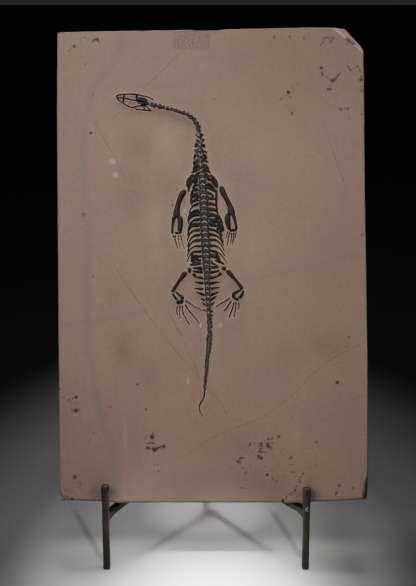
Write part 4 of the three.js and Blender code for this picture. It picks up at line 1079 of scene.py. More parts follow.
@dataclass(frozen=True)
class VertebraRow:
    """A run of like vertebrae along a line.

    Attributes:
        line: Place and width along the run.
        count: How many vertebrae it has.
        lumps: The parts of one vertebra: middle along and across, half length, half width, share of the
            height, and turn in degrees; along in vertebra lengths and across in half widths.
        crown: How high it stands.
        chart: What the places along and across the run are stored as.
        seed: Picks how each vertebra differs from the next.
        play: How much they differ.
    """

    line: tuple[Station, ...]
    count: int
    lumps: tuple[tuple[float, float, float, float, float, float], ...]
    crown: Crown = Crown.COLUMN
    chart: str = ""
    seed: int = 5
    play: float = 1.0

    def _walk(self) -> list[tuple[Vector, float, float, float]]:
        """Sets out the vertebrae on a smooth curve through the line.

        Returns:
            Middle, direction, length and width of each vertebra.
        """
        dense = []
        points = [Vector(station) for station in self.line]
        for index in range(len(points) - 1):
            before = points[max(index - 1, 0)]
            after = points[min(index + 2, len(points) - 1)]
            start, end = points[index], points[index + 1]
            for step in range(16):
                t = step / 16
                bend = (2 * before - 5 * start + 4 * end - after) * t * t
                twist = (3 * start - before - 3 * end + after) * t**3
                dense.append(0.5 * (2 * start + (end - before) * t + bend + twist))
        dense.append(points[-1])
        runs = [0.0]
        for first, second in zip(dense, dense[1:]):
            runs.append(runs[-1] + (second - first).xy.length)
        length = runs[-1] / self.count
        walk = []
        for index in range(self.count):
            want = (index + 0.5) * length
            at = next(i for i, run in enumerate(runs) if run >= want)
            t = (want - runs[at - 1]) / (runs[at] - runs[at - 1])
            place = dense[at - 1].lerp(dense[at], t)
            way = dense[min(at + 4, len(dense) - 1)] - dense[max(at - 5, 0)]
            walk.append((Vector((place.x, place.y, 0)), math.atan2(way.y, way.x), length, place.z))
        return walk

    def draw_chart(self, piece: bpy.types.Object) -> None:
        """Stores across, along and 1 on the run, in half widths and vertebrae, at a flat piece's points.

        Args:
            piece: The piece, not yet laid on the leaning face.
        """
        right, up, _ = Bench.points(piece).T
        signed, place, length = Terrain.along([station[:2] for station in self.line], right, up)
        steps = [math.dist(first[:2], second[:2]) for first, second in zip(self.line, self.line[1:])]
        half = 0.5 * np.interp(place, np.cumsum([0.0, *steps]), [station[2] for station in self.line])
        window = np.clip(1.5 - np.abs(signed) / half / 2, 0, 1)
        window = window * np.clip(place + 0.5, 0, 1) * np.clip(length - place + 0.5, 0, 1)
        chart = np.stack((signed / half, place / length * self.count, window), 1)
        Bench.keep(piece, self.chart, "FLOAT_VECTOR", chart)

    @staticmethod
    def _pebble() -> bpy.types.Object:
        """Builds a block with worn corners, one unit to each side.

        Returns:
            The block.
        """
        Bench.clear()
        bpy.ops.mesh.primitive_cube_add(size=2)
        pebble = bpy.context.object
        with Bench.editing(pebble, "EDGE"):
            bpy.ops.mesh.bevel(offset=0.32, segments=2)
        return pebble

    def build(self) -> bpy.types.Object:
        """Builds the vertebrae along the line from worn blocks.

        Returns:
            The whole run.
        """
        pebble = self._pebble()
        rng = random.Random(self.seed)
        crown = SEAT + self.crown.value
        run = []
        for centre, angle, length, width in self._walk():
            size = Matrix.Diagonal((length, 0.5 * width * (1 + 0.07 * self.play * rng.uniform(-1, 1)), 1, 1))
            turned = Matrix.Rotation(angle + 0.06 * rng.uniform(-1, 1), 4, "Z")
            seat = Matrix.Translation(centre) @ turned @ size
            for along, across, half_length, half_width, share, turn in self.lumps:
                top = share * crown * (1 + 0.04 * rng.uniform(-1, 1))
                reach = 0.5 * (top + 0.9)
                shift = Vector((along, across, top - reach))
                shift += Vector((rng.uniform(-1, 1), rng.uniform(-1, 1), 0)) * 0.07 * self.play
                swing = Matrix.Rotation(math.radians(turn + 12 * self.play * rng.uniform(-1, 1)), 4, "Z")
                stretch = [1 + 0.22 * self.play * rng.uniform(-1, 1) for _ in range(2)]
                form = Matrix.Diagonal((half_length * stretch[0], half_width * stretch[1], reach, 1))
                run.append(Bench.settle(Bench.twin(pebble), seat @ Matrix.Translation(shift) @ swing @ form))
        bpy.data.objects.remove(pebble)
        return Bench.join(run)


# Parts of one vertebra, for each stretch of the spine.
TRUNK_LUMPS = (
    (0.0, 0.0, 0.56, 0.72, 0.86, 0), (0.05, 0.74, 0.46, 0.26, 1.0, 0), (0.05, -0.74, 0.46, 0.26, 1.0, 0),
    (0.3, 0.0, 0.2, 0.2, 1.0, 0),
)
BEAD_LUMPS = ((0.0, 0.0, 0.52, 0.84, 0.94, 10), (-0.08, 0.66, 0.34, 0.42, 1.0, 22))
NECK_LUMPS = (
    (0.0, 0.0, 0.58, 0.78, 0.88, 0), (-0.04, 0.74, 0.42, 0.36, 1.0, -12),
    (-0.04, -0.74, 0.42, 0.36, 1.0, 12),
)
TAIL_LUMPS = (
    (-0.08, 0.6, 0.42, 0.4, 1.0, 0), (0.08, -0.6, 0.42, 0.4, 1.0, 0), (0.0, 0.0, 0.6, 0.5, 0.84, 0),
)


@dataclass(frozen=True)
class Bed:
    """Stone left standing between bones.

    Attributes:
        rows: The bones.
        height: How high it stands.
        past: How far past the bones' edges it ends.
        soft: How wide its slope is.
    """

    rows: tuple[tuple[Station, ...], ...]
    height: float
    past: float
    soft: float


# ---- the skeleton


@dataclass
class Skeleton:
    """All the bones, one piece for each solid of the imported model."""

    face: LeaningFace
    trunk_voxel: float = 0.3
    limb_voxel: float = 0.26
    small_voxel: float = 0.2
    trunk_vertebrae: int = 27
    high_neck_vertebrae: int = 15
    low_neck_vertebrae: int = 8
    tail_vertebrae: int = 18
    grains: tuple[Grain, ...] = (Grain("CLOUDS", 1.1, 0.24), Grain("CLOUDS", 0.4, 0.07))
    hips: dict[str, Knob] = field(
        default_factory=lambda: {
            "ilium_left": Knob(-18.4, 185.7, 1.5, 2.05),
            "ilium_right": Knob(9.2, 187.0, 1.75, 1.75),
        }
    )
    sacral_knobs: tuple[Knob, ...] = (Knob(-14.8, 182.2, 1.7, 1.3), Knob(6.2, 183.0, 1.5, 1.2))

    def _fossilise(
        self, parts: Sequence[bpy.types.Object], name: str, voxel: float, runs: Sequence[VertebraRow] = ()
    ) -> bpy.types.Object:
        """Fuses parts into one bone, pits its surface and lays it on the face.

        Args:
            parts: The objects to fuse.
            name: The piece's name.
            voxel: How finely the surface is made, in millimetres.
            runs: The rows of vertebrae in it, whose places are stored for the finish.

        Returns:
            The finished piece.
        """
        bone = Bench.fuse([*(run.build() for run in runs), *parts], name, voxel, smoothing=2)
        for grain in self.grains:
            grain.press(bone)
        for run in runs:
            run.draw_chart(bone)
        Bench.pick(bone)
        bpy.ops.object.shade_smooth()
        return Bench.settle(bone, self.face.matrix)

    @staticmethod
    def _bars(
        rows: Sequence[tuple[Station, ...]], crown: Crown, stout: tuple[float, float, float] = (1.0, 0.0, 0.0)
    ) -> list[bpy.types.Object]:
        """Builds a bar along each row of stations.

        Args:
            rows: The stations of each bar.
            crown: How high the bars stand.
            stout: How many times their width they are, what the chest adds, and what their outer ends add.

        Returns:
            The bars.
        """
        parts = []
        for row in rows:
            stations = []
            for index, (right, up, width) in enumerate(row):
                chest = min(max((up - 212) / 22, 0), 1)
                broad = stout[0] + stout[1] * chest + stout[2] * min(index / 3, 1)
                stations.append((right, up, width * broad))
            bar = Bar(tuple(stations), crown).build()
            Bench.modify(bar, "SUBSURF", levels=2, render_levels=2)
            parts.append(bar)
        return parts

    def skull(self) -> bpy.types.Object:
        """Builds the frame of skull and jaw bars, with the braincase.

        Returns:
            The piece.
        """
        parts = self._bars(SKULL_BARS, Crown.SKULL)
        parts += self._bars(BRAINCASE, Crown.BRAINCASE)
        return self._fossilise(parts, "skull_bones", self.small_voxel)

    def neck(self) -> bpy.types.Object:
        """Builds the long neck with its short ribs.

        Returns:
            The piece.
        """
        beads = VertebraRow(HIGH_NECK_LINE, self.high_neck_vertebrae, BEAD_LUMPS, chart="high_neck")
        blocks = VertebraRow(LOW_NECK_LINE, self.low_neck_vertebrae, NECK_LUMPS, chart="low_neck")
        ribs = self._bars(LEFT_NECK_RIBS + RIGHT_NECK_RIBS, Crown.RIB, (1.6, 0, 0))
        return self._fossilise(ribs, "neck_bones", self.limb_voxel, [beads, blocks])

    def trunk(self) -> bpy.types.Object:
        """Builds the back, the ribs and all that is pressed onto them.

        Returns:
            The piece.
        """
        column = VertebraRow(TRUNK_LINE, self.trunk_vertebrae, TRUNK_LUMPS, chart="trunk", play=0.5)
        parts = self._bars(LEFT_RIBS, Crown.RIB, (1.3, 0.16, -0.16))
        parts += self._bars(RIGHT_RIBS, Crown.RIB, (1.3, 0.32, -0.2))
        parts += self._bars(LEFT_SPINES + RIGHT_SPINES + (STRAY_RIB,), Crown.RIB, (1.26, 0, 0))
        parts += self._bars(CRUSHED_RIBS, Crown.CRUSHED, (1.03, 0, 0))
        parts += [knob.build() for knob in self.sacral_knobs]
        return self._fossilise(parts, "trunk_bones", self.trunk_voxel, [column])

    def tail(self) -> bpy.types.Object:
        """The tail, down to its thin curled end."""
        column = VertebraRow(TAIL_LINE, self.tail_vertebrae, TAIL_LUMPS, Crown.GIRDLE, "tail", play=1.3)
        return self._fossilise(self._bars((TAIL_END,), Crown.DIGIT), "tail_bones", self.limb_voxel, [column])

    def build(self) -> list[tuple[bpy.types.Object, str]]:
        """Builds every bone.

        Returns:
            Each piece with the name of the solid that it stands for.
        """
        pieces = [
            (self.skull(), "skull"),
            (self.neck(), "neck_vertebrae"),
            (self.trunk(), "trunk_and_ribs"),
            (self.tail(), "tail_vertebrae"),
        ]
        plates = {node: Plate(outline, Crown.DIGIT, 0.25) for node, outline in WRISTS_AND_ANKLES.items()}
        for side, rows in (("left", LEFT_GIRDLE), ("right", RIGHT_GIRDLE)):
            node = f"shoulder_girdle_{side}"
            parts = self._bars(rows, Crown.GIRDLE, (1.14, 0, 0))
            pieces.append((self._fossilise(parts, f"{node}_bones", self.small_voxel), node))
        for node, form in {**plates, **self.hips}.items():
            pieces.append((self._fossilise([form.build()], f"{node}_bone", self.small_voxel), node))
        for node, stations in LIMB_BONES.items():
            bone = self._bars((stations,), Crown.LIMB, (1.13, 0, 0))
            pieces.append((self._fossilise(bone, f"{node}_bone", self.limb_voxel), node))
        for group, digits in DIGITS.items():
            for number, joints in enumerate(digits, 1):
                digit = Digit(joints).build()
                Bench.modify(digit, "SUBSURF", levels=2, render_levels=2)
                node = f"{group}_{number}"
                pieces.append((self._fossilise([digit], f"{node}_bones", self.small_voxel), node))
        return pieces

    @staticmethod
    def lines() -> list[tuple[Station, ...]]:
        """Lists every line of bone, for what the stone does round it.

        Returns:
            The stations of each line.
        """
        rows = [*SKULL_BARS, HIGH_NECK_LINE, LOW_NECK_LINE, TRUNK_LINE, TAIL_LINE, TAIL_END]
        rows += [*LEFT_NECK_RIBS, *RIGHT_NECK_RIBS, *LEFT_RIBS, *RIGHT_RIBS, *LEFT_SPINES, *RIGHT_SPINES]
        rows += LIMB_BONES.values()
        for digits in DIGITS.values():
            rows += digits
        rows += [*LEFT_GIRDLE, *RIGHT_GIRDLE, *CRUSHED_RIBS, *BRAINCASE]
        return rows

    @staticmethod
    def beds() -> list[Bed]:
        """Lists the stone that still stands between the bones.

        Returns:
            The beds, the broad ones first.
        """
        body = (*LEFT_RIBS, *RIGHT_RIBS, *CRUSHED_RIBS, *LEFT_GIRDLE, *RIGHT_GIRDLE, TRUNK_LINE)
        low_neck = (*LEFT_NECK_RIBS, *RIGHT_NECK_RIBS)
        return [
            Bed(body, 0.85, 1.1, 1.3),
            Bed(low_neck, 0.8, 0.7, 1.0),
            Bed((TRUNK_LINE,), 1.9, -0.3, 1.2),
            Bed((HIGH_NECK_LINE, LOW_NECK_LINE), 1.75, -0.2, 1.1),
        ]


# ---- the slab


@dataclass(frozen=True)
class Break:
    """A broken corner: a line across the face and the way the stone slopes down beyond it."""

    right: float
    up: float
    out_right: float
    out_up: float
    slope: float

    def surface(self, right: np.ndarray, up: np.ndarray) -> np.ndarray:
        """Height of the broken surface, which rises above the face on the whole side."""
        beyond = (right - self.right) * self.out_right + (up - self.up) * self.out_up
        return -beyond * math.tan(math.radians(self.slope))


class Terrain:
    """Smooth unevenness over the face, worked out point by point."""

    @staticmethod
    def waves(right: np.ndarray, up: np.ndarray, size: float, seed: float) -> np.ndarray:
        """Noise between about -1 and 1 whose bumps are that many millimetres across."""
        pairs = zip((right / size).tolist(), (up / size).tolist())
        return np.array([noise.noise(Vector((x, y, seed))) for x, y in pairs])

    @staticmethod
    def along(
        line: Sequence[Point], right: np.ndarray, up: np.ndarray
    ) -> tuple[np.ndarray, np.ndarray, float]:
        """Finds the signed distance from a line and the place along it; its ends run on.

        Args:
            line: The line's points.
            right: Where to look, across the face.
            up: Where to look, up the face.

        Returns:
            The signed distance, the place along the line, and the line's length.
        """
        nearest = np.full(right.shape, np.inf)
        signed = np.zeros_like(nearest)
        place = np.zeros_like(nearest)
        run = 0.0
        last = len(line) - 2
        for index, (start, end) in enumerate(zip(line, line[1:])):
            dx, dy = end[0] - start[0], end[1] - start[1]
            length = math.hypot(dx, dy)
            share = ((right - start[0]) * dx + (up - start[1]) * dy) / length**2
            held = np.clip(share, -np.inf if index == 0 else 0, np.inf if index == last else 1)
            away = np.hypot(right - start[0] - held * dx, up - start[1] - held * dy)
            side = np.sign(dx * (up - start[1]) - dy * (right - start[0]))
            closer = away < nearest
            nearest = np.where(closer, away, nearest)
            signed = np.where(closer, away * side, signed)
            place = np.where(closer, run + held * length, place)
            run += length
        return signed, place, run

    @staticmethod
    def reach(rows: Sequence[tuple[Station, ...]], right: np.ndarray, up: np.ndarray) -> np.ndarray:
        """Finds the distance from the nearest of the bones' edges.

        Args:
            rows: The stations of each bone.
            right: Where to look, across the face.
            up: Where to look, up the face.

        Returns:
            Millimetres at each place, below zero on a bone.
        """
        nearest = np.full(right.shape, 60.0)
        for row in rows:
            for start, end in zip(row, row[1:]):
                dx, dy = end[0] - start[0], end[1] - start[1]
                near = (right > min(start[0], end[0]) - 14) & (right < max(start[0], end[0]) + 14)
                near &= (up > min(start[1], end[1]) - 14) & (up < max(start[1], end[1]) + 14)
                x, y = right[near] - start[0], up[near] - start[1]
                share = np.clip((x * dx + y * dy) / (dx * dx + dy * dy), 0, 1)
                half = 0.5 * (start[2] + share * (end[2] - start[2]))
                away = np.hypot(x - share * dx, y - share * dy) - half
                nearest[near] = np.minimum(nearest[near], away)
        return nearest


@dataclass
class Slab:
    """The mudstone slab: its face, worn edges, sides and back."""

    face: LeaningFace
    bones: list[tuple[Station, ...]]
    beds: list[Bed]
    thickness: float = 16.0
    columns: tuple[tuple[int, float], ...] = (
        (0, -124.0), (3, -122.0), (21, -85.0), (162, 35.0), (183, 92.0), (205, 122.2), (208, 124.0),
    )
    rows: tuple[tuple[int, float], ...] = (
        (0, 0.0), (3, 2.0), (27, 62.0), (300, 335.0), (313, 360.0), (326, 378.0), (329, 380.0),
    )
    corners: tuple[Point, ...] = ((-120.6, 1.6), (123.7, 2.8), (114.5, 370.1), (-124.0, 375.0))
    rings: tuple[tuple[float, float], ...] = (
        (0.0, 1.0), (-0.3, 0.42), (-1.0, 0.08), (-2.2, 0.0), (-4.0, 0.0), (-6.0, 0.0), (-8.0, 0.0),
        (-10.0, 0.0), (-12.0, 0.0), (-14.0, 0.0), (-15.0, 0.0), (-15.7, 0.35), (-16.0, 1.0),
    )
    back_columns: int = 62
    back_rows: int = 94
    back_middle: float = 187.0
    back_shrink: tuple[float, float] = (0.972, 0.982)
    breaks: tuple[Break, ...] = (
        Break(105.1, 372.3, 0.626, 0.78, 45.0),
        Break(121.8, 14.0, 0.984, -0.18, 55.0),
    )

    def _edge(self, start: Point, end: Point, by: int) -> np.ndarray:
        """Picks the outline's points from one corner to the next.

        Args:
            start: The first corner.
            end: The next corner.
            by: 0 along the bottom or the top, 1 up a side.

        Returns:
            The points in order, one row each.
        """
        low, high = min(start[by], end[by]), max(start[by], end[by])
        middle = ((start[0] + end[0]) / 2, (start[1] + end[1]) / 2)
        across = 1 - by
        near = [p for p in SLAB_OUTLINE if low < p[by] < high and abs(p[across] - middle[across]) < 16]
        return np.array(sorted([start, *near, end], key=lambda p: p[by]))

    def _side(self, start: Point, end: Point, by: int, share: np.ndarray) -> np.ndarray:
        """Follows the outline from one corner to the next.

        Args:
            start: The first corner.
            end: The next corner.
            by: 0 along the bottom or the top, 1 up a side.
            share: Shares of the way.

        Returns:
            Places on the face, right in the first row and up in the second.
        """
        edge = self._edge(start, end, by)
        along = start[by] + share * (end[by] - start[by])
        beside = np.interp(along, edge[:, by], edge[:, 1 - by])
        return np.array((beside, along) if by else (along, beside))

    def _patch(self, s: np.ndarray, t: np.ndarray) -> np.ndarray:
        """Stretches a unit square over the slab's outline.

        Args:
            s: Share of the way across.
            t: Share of the way up.

        Returns:
            Places on the face, right in the first row and up in the second.
        """
        bl, br, tr, tl = self.corners
        low, high = self._side(bl, br, 0, s), self._side(tl, tr, 0, s)
        left, right = self._side(bl, tl, 1, t), self._side(br, tr, 1, t)
        bl, br, tr, tl = np.array(self.corners)[:, :, None]
        sides = (1 - t) * low + t * high + (1 - s) * left + s * right
        return sides - ((1 - s) * (1 - t) * bl + s * (1 - t) * br + s * t * tr + (1 - s) * t * tl)

    def _to_edge(self, right: np.ndarray, up: np.ndarray) -> tuple[np.ndarray, np.ndarray, np.ndarray]:
        """Finds the nearest part of the outline.

        Args:
            right: Where to look, across the face.
            up: Where to look, up the face.

        Returns:
            The distance from it, and the way out across it.
        """
        nearest = np.full(right.shape, np.inf)
        out_right, out_up = np.zeros_like(nearest), np.zeros_like(nearest)
        closed = [*SLAB_OUTLINE, SLAB_OUTLINE[0]]
        for (x0, y0), (x1, y1) in zip(closed, closed[1:]):
            dx, dy = x1 - x0, y1 - y0
            length = math.hypot(dx, dy)
            share = np.clip(((right - x0) * dx + (up - y0) * dy) / length**2, 0, 1)
            away = np.hypot(right - x0 - share * dx, up - y0 - share * dy)
            closer = away < nearest
            nearest = np.where(closer, away, nearest)
            out_right = np.where(closer, -dy / length, out_right)
            out_up = np.where(closer, dx / length, out_up)
        return nearest, out_right, out_up

    def _relief(self, right: np.ndarray, up: np.ndarray, reach: np.ndarray, edge: np.ndarray) -> np.ndarray:
        """Works out the height of the face.

        Args:
            right: Where to look, across the face.
            up: Where to look, up the face.
            reach: The distance from the bones.
            edge: The distance from the outline.

        Returns:
            The heights, in millimetres.
        """
        waves = Terrain.waves
        height = 0.24 * waves(right, up, 46, 3.1) + 0.09 * waves(right, up, 13, 8.2)
        height += 0.035 * waves(right, up, 3.4, 5.7)
        worked = np.exp(-((np.maximum(reach, 0) / 6.5) ** 2)) * (0.3 + 0.3 * np.clip((up - 255) / 20, 0, 1))
        rim = 0.16 * np.exp(-(((reach - 8.6) / 2.2) ** 2)) * np.clip((up - 245) / 20, 0.25, 1)
        height += rim - 0.3 - worked * (0.8 + 0.3 * waves(right, up, 6, 1.4))
        chipped = np.clip(waves(right, up, 7, 11.3) - 0.12, 0, 1) * 1.5
        chipped += np.clip(waves(right, up, 2.4, 4.4), 0, 1) * 0.25
        height -= chipped * np.clip(1 - edge / 2.6, 0, 1) ** 1.6
        return height - 0.16 * np.clip(1 - edge / 3.2, 0, 1) ** 2

    def build(self) -> bpy.types.Object:
        """Builds the slab and lays it on the leaning face.

        Returns:
            The finished piece.
        """
        stone = self._front()
        self._close_back(stone)
        Bench.face_outwards(stone)
        self._carve(stone)
        self._mark(stone)
        Bench.pick(stone)
        bpy.ops.object.shade_smooth_by_angle(angle=math.radians(38))
        return Bench.settle(stone, self.face.matrix)

    def _front(self) -> bpy.types.Object:
        """Lays a fine net over the outline and runs its rim back as the sides.

        Returns:
            The stone, open at the back.
        """
        across, upward = self.columns[-1][0], self.rows[-1][0]
        Bench.clear()
        bpy.ops.mesh.primitive_grid_add(x_subdivisions=across, y_subdivisions=upward, size=2)
        stone = bpy.context.object
        stone.name = "slab_stone"
        co = Bench.points(stone)
        column = np.rint((co[:, 0] + 1) / 2 * across)
        row = np.rint((co[:, 1] + 1) / 2 * upward)
        s = np.interp(column, *zip(*self.columns))
        t = np.interp(row, *zip(*self.rows))
        s, t = (s - s.min()) / (s.max() - s.min()), (t - t.min()) / (t.max() - t.min())
        co[:, 0], co[:, 1] = self._patch(s, t)
        Bench.move_points(stone, co)
        with Bench.editing(stone, "EDGE"):
            Bench.pick_rim()
            for (high, _), (low, _) in zip(self.rings, self.rings[1:]):
                Bench.extrude((0, 0, low - high))
        return stone

    def _close_back(self, stone: bpy.types.Object) -> None:
        """Lays a coarser net over the back and bridges it to the sides.

        Args:
            stone: The open stone.
        """
        Bench.clear()
        cuts = {"x_subdivisions": self.back_columns, "y_subdivisions": self.back_rows}
        bpy.ops.mesh.primitive_grid_add(size=2, **cuts)
        back = bpy.context.object
        co = Bench.points(back)
        right, up = self._patch(*(co[:, :2].T + 1) / 2)
        middle, (narrower, shorter) = self.back_middle, self.back_shrink
        co[:, 0], co[:, 1], co[:, 2] = right * narrower, middle + (up - middle) * shorter, -self.thickness
        Bench.move_points(back, co)
        Bench.join([stone, back])
        with Bench.editing(stone, "EDGE"):
            Bench.pick_rim()
            bpy.ops.mesh.bridge_edge_loops()

    def _carve(self, stone: bpy.types.Object) -> None:
        """Moves the net's points to the stone's true surface.

        Args:
            stone: The closed net.
        """
        co = Bench.points(stone)
        count = len(co)
        right, up, out = co[:, 0].copy(), co[:, 1].copy(), co[:, 2].copy()
        edge, out_right, out_up = self._to_edge(right, up)
        front, back = out > -0.01, out < 0.01 - self.thickness
        side = edge < 0.02
        levels, insets = zip(*sorted(self.rings))
        inset = np.where(side, np.interp(out, levels, insets), 0)
        rough = np.zeros(count)
        on_side = side & (out < -1.5) & (out > -15.5)
        waves = Terrain.waves
        around = right + up
        rough[on_side] = 0.45 * np.abs(waves(around[on_side], 3 * out[on_side], 9, 2.2))
        rough[on_side] += 0.25 * np.abs(waves(around[on_side], 2 * out[on_side], 2.6, 7.7))
        co[:, 0] = right - out_right * (inset + rough)
        co[:, 1] = up - out_up * (inset + rough)
        reach = np.full(count, 60.0)
        reach[front] = Terrain.reach(self.bones, right[front], up[front])
        relief = np.zeros(count)
        relief[front] = self._relief(right[front], up[front], reach[front], edge[front])
        near_top = side & (out < -0.01) & (out > -1.5)
        relief[near_top] = self._relief(right[near_top], up[near_top], reach[near_top], edge[near_top])
        level = np.minimum(out + relief, np.where(out > -1.5, 0.0, out))
        for bed in self.beds:
            held = np.clip((bed.past - Terrain.reach(bed.rows, right[front], up[front])) / bed.soft, 0, 1)
            level[front] = np.maximum(level[front], bed.height * held * held * (3 - 2 * held))
        dressed = back & ~side
        pits = np.abs(waves(right[dressed], up[dressed], 24, 6.6)) * 0.5
        pits += np.abs(waves(right[dressed], up[dressed], 7, 9.1)) * 0.3
        level[dressed] = -self.thickness + np.clip(pits, 0, 1.0)
        fresh = 0.35 * waves(co[:, 0], co[:, 1], 2.2, 12.5) + 0.5 * waves(co[:, 0], co[:, 1], 5.5, 13.5)
        for broken in self.breaks:
            fall = broken.surface(co[:, 0], co[:, 1])
            cut = np.minimum(level, fall - 0.35 + np.minimum(fresh, 0.35))
            level = np.where((fall < 0.4) & (out > -8), cut, level)
        co[:, 2] = level
        Bench.move_points(stone, co)
        Bench.keep(stone, "bone_reach", "FLOAT", reach)
        Bench.keep(stone, "edge_reach", "FLOAT", edge)

    def _mark(self, stone: bpy.types.Object) -> None:
        """Stores where the cracks, veins, specks and patches are.

        Args:
            stone: The carved stone.
        """
        right, up, out = Bench.points(stone).T
        on_face = np.clip((out + 4) / 2, 0, 1)
        groups = {
            "cracks": CRACKS,
            "side_crack": (SIDE_CRACK,),
            "upright_vein": (UPRIGHT_VEIN,),
            "level_vein": (LEVEL_VEIN,),
        }
        for name, lines in groups.items():
            band = 6.0 if "crack" in name else 16.0
            best = np.full(right.shape, np.inf)
            kept = np.zeros((len(right), 3))
            for line in lines:
                signed, place, length = Terrain.along(line, right, up)
                closer = np.abs(signed) < best
                best = np.where(closer, np.abs(signed), best)
                ends = np.clip(place / 6 + 0.5, 0, 1) * np.clip((length - place) / 6 + 0.5, 0, 1)
                window = ends * on_face * np.clip(2 - np.abs(signed) / band * 2, 0, 1)
                kept[closer] = np.stack((signed, place, window), 1)[closer]
            Bench.keep(stone, name, "FLOAT_VECTOR", kept)
        offsets = np.zeros((len(right), 3))
        best = np.full(right.shape, np.inf)
        for speck_right, speck_up, radius, darkness in SPECKS:
            away_right, away_up = (right - speck_right) / radius, (up - speck_up) / radius
            away = np.hypot(away_right, away_up)
            closer = away < best
            best = np.where(closer, away, best)
            offsets[closer] = np.stack((away_right, away_up, darkness * on_face), 1)[closer]
        Bench.keep(stone, "speck", "FLOAT_VECTOR", offsets)
        patches = [self._patches(table, right, up) for table in (ROSY_PATCHES, OLIVE_PATCHES, PALE_PATCHES)]
        Bench.keep(stone, "patches", "FLOAT_VECTOR", np.stack(patches, 1))

    @staticmethod
    def _patches(table: Sequence[tuple[float, ...]], right: np.ndarray, up: np.ndarray) -> np.ndarray:
        """Works out how strong a kind of soft patch is.

        Args:
            table: The patches.
            right: Where to look, across the face.
            up: Where to look, up the face.

        Returns:
            The strength at each place.
        """
        strengths = np.zeros_like(right)
        for patch_right, patch_up, wide, tall, strength in table:
            away = ((right - patch_right) / wide) ** 2 + ((up - patch_up) / tall) ** 2
            strengths = np.maximum(strengths, strength * np.exp(-away))
        return strengths


# ---- the easel


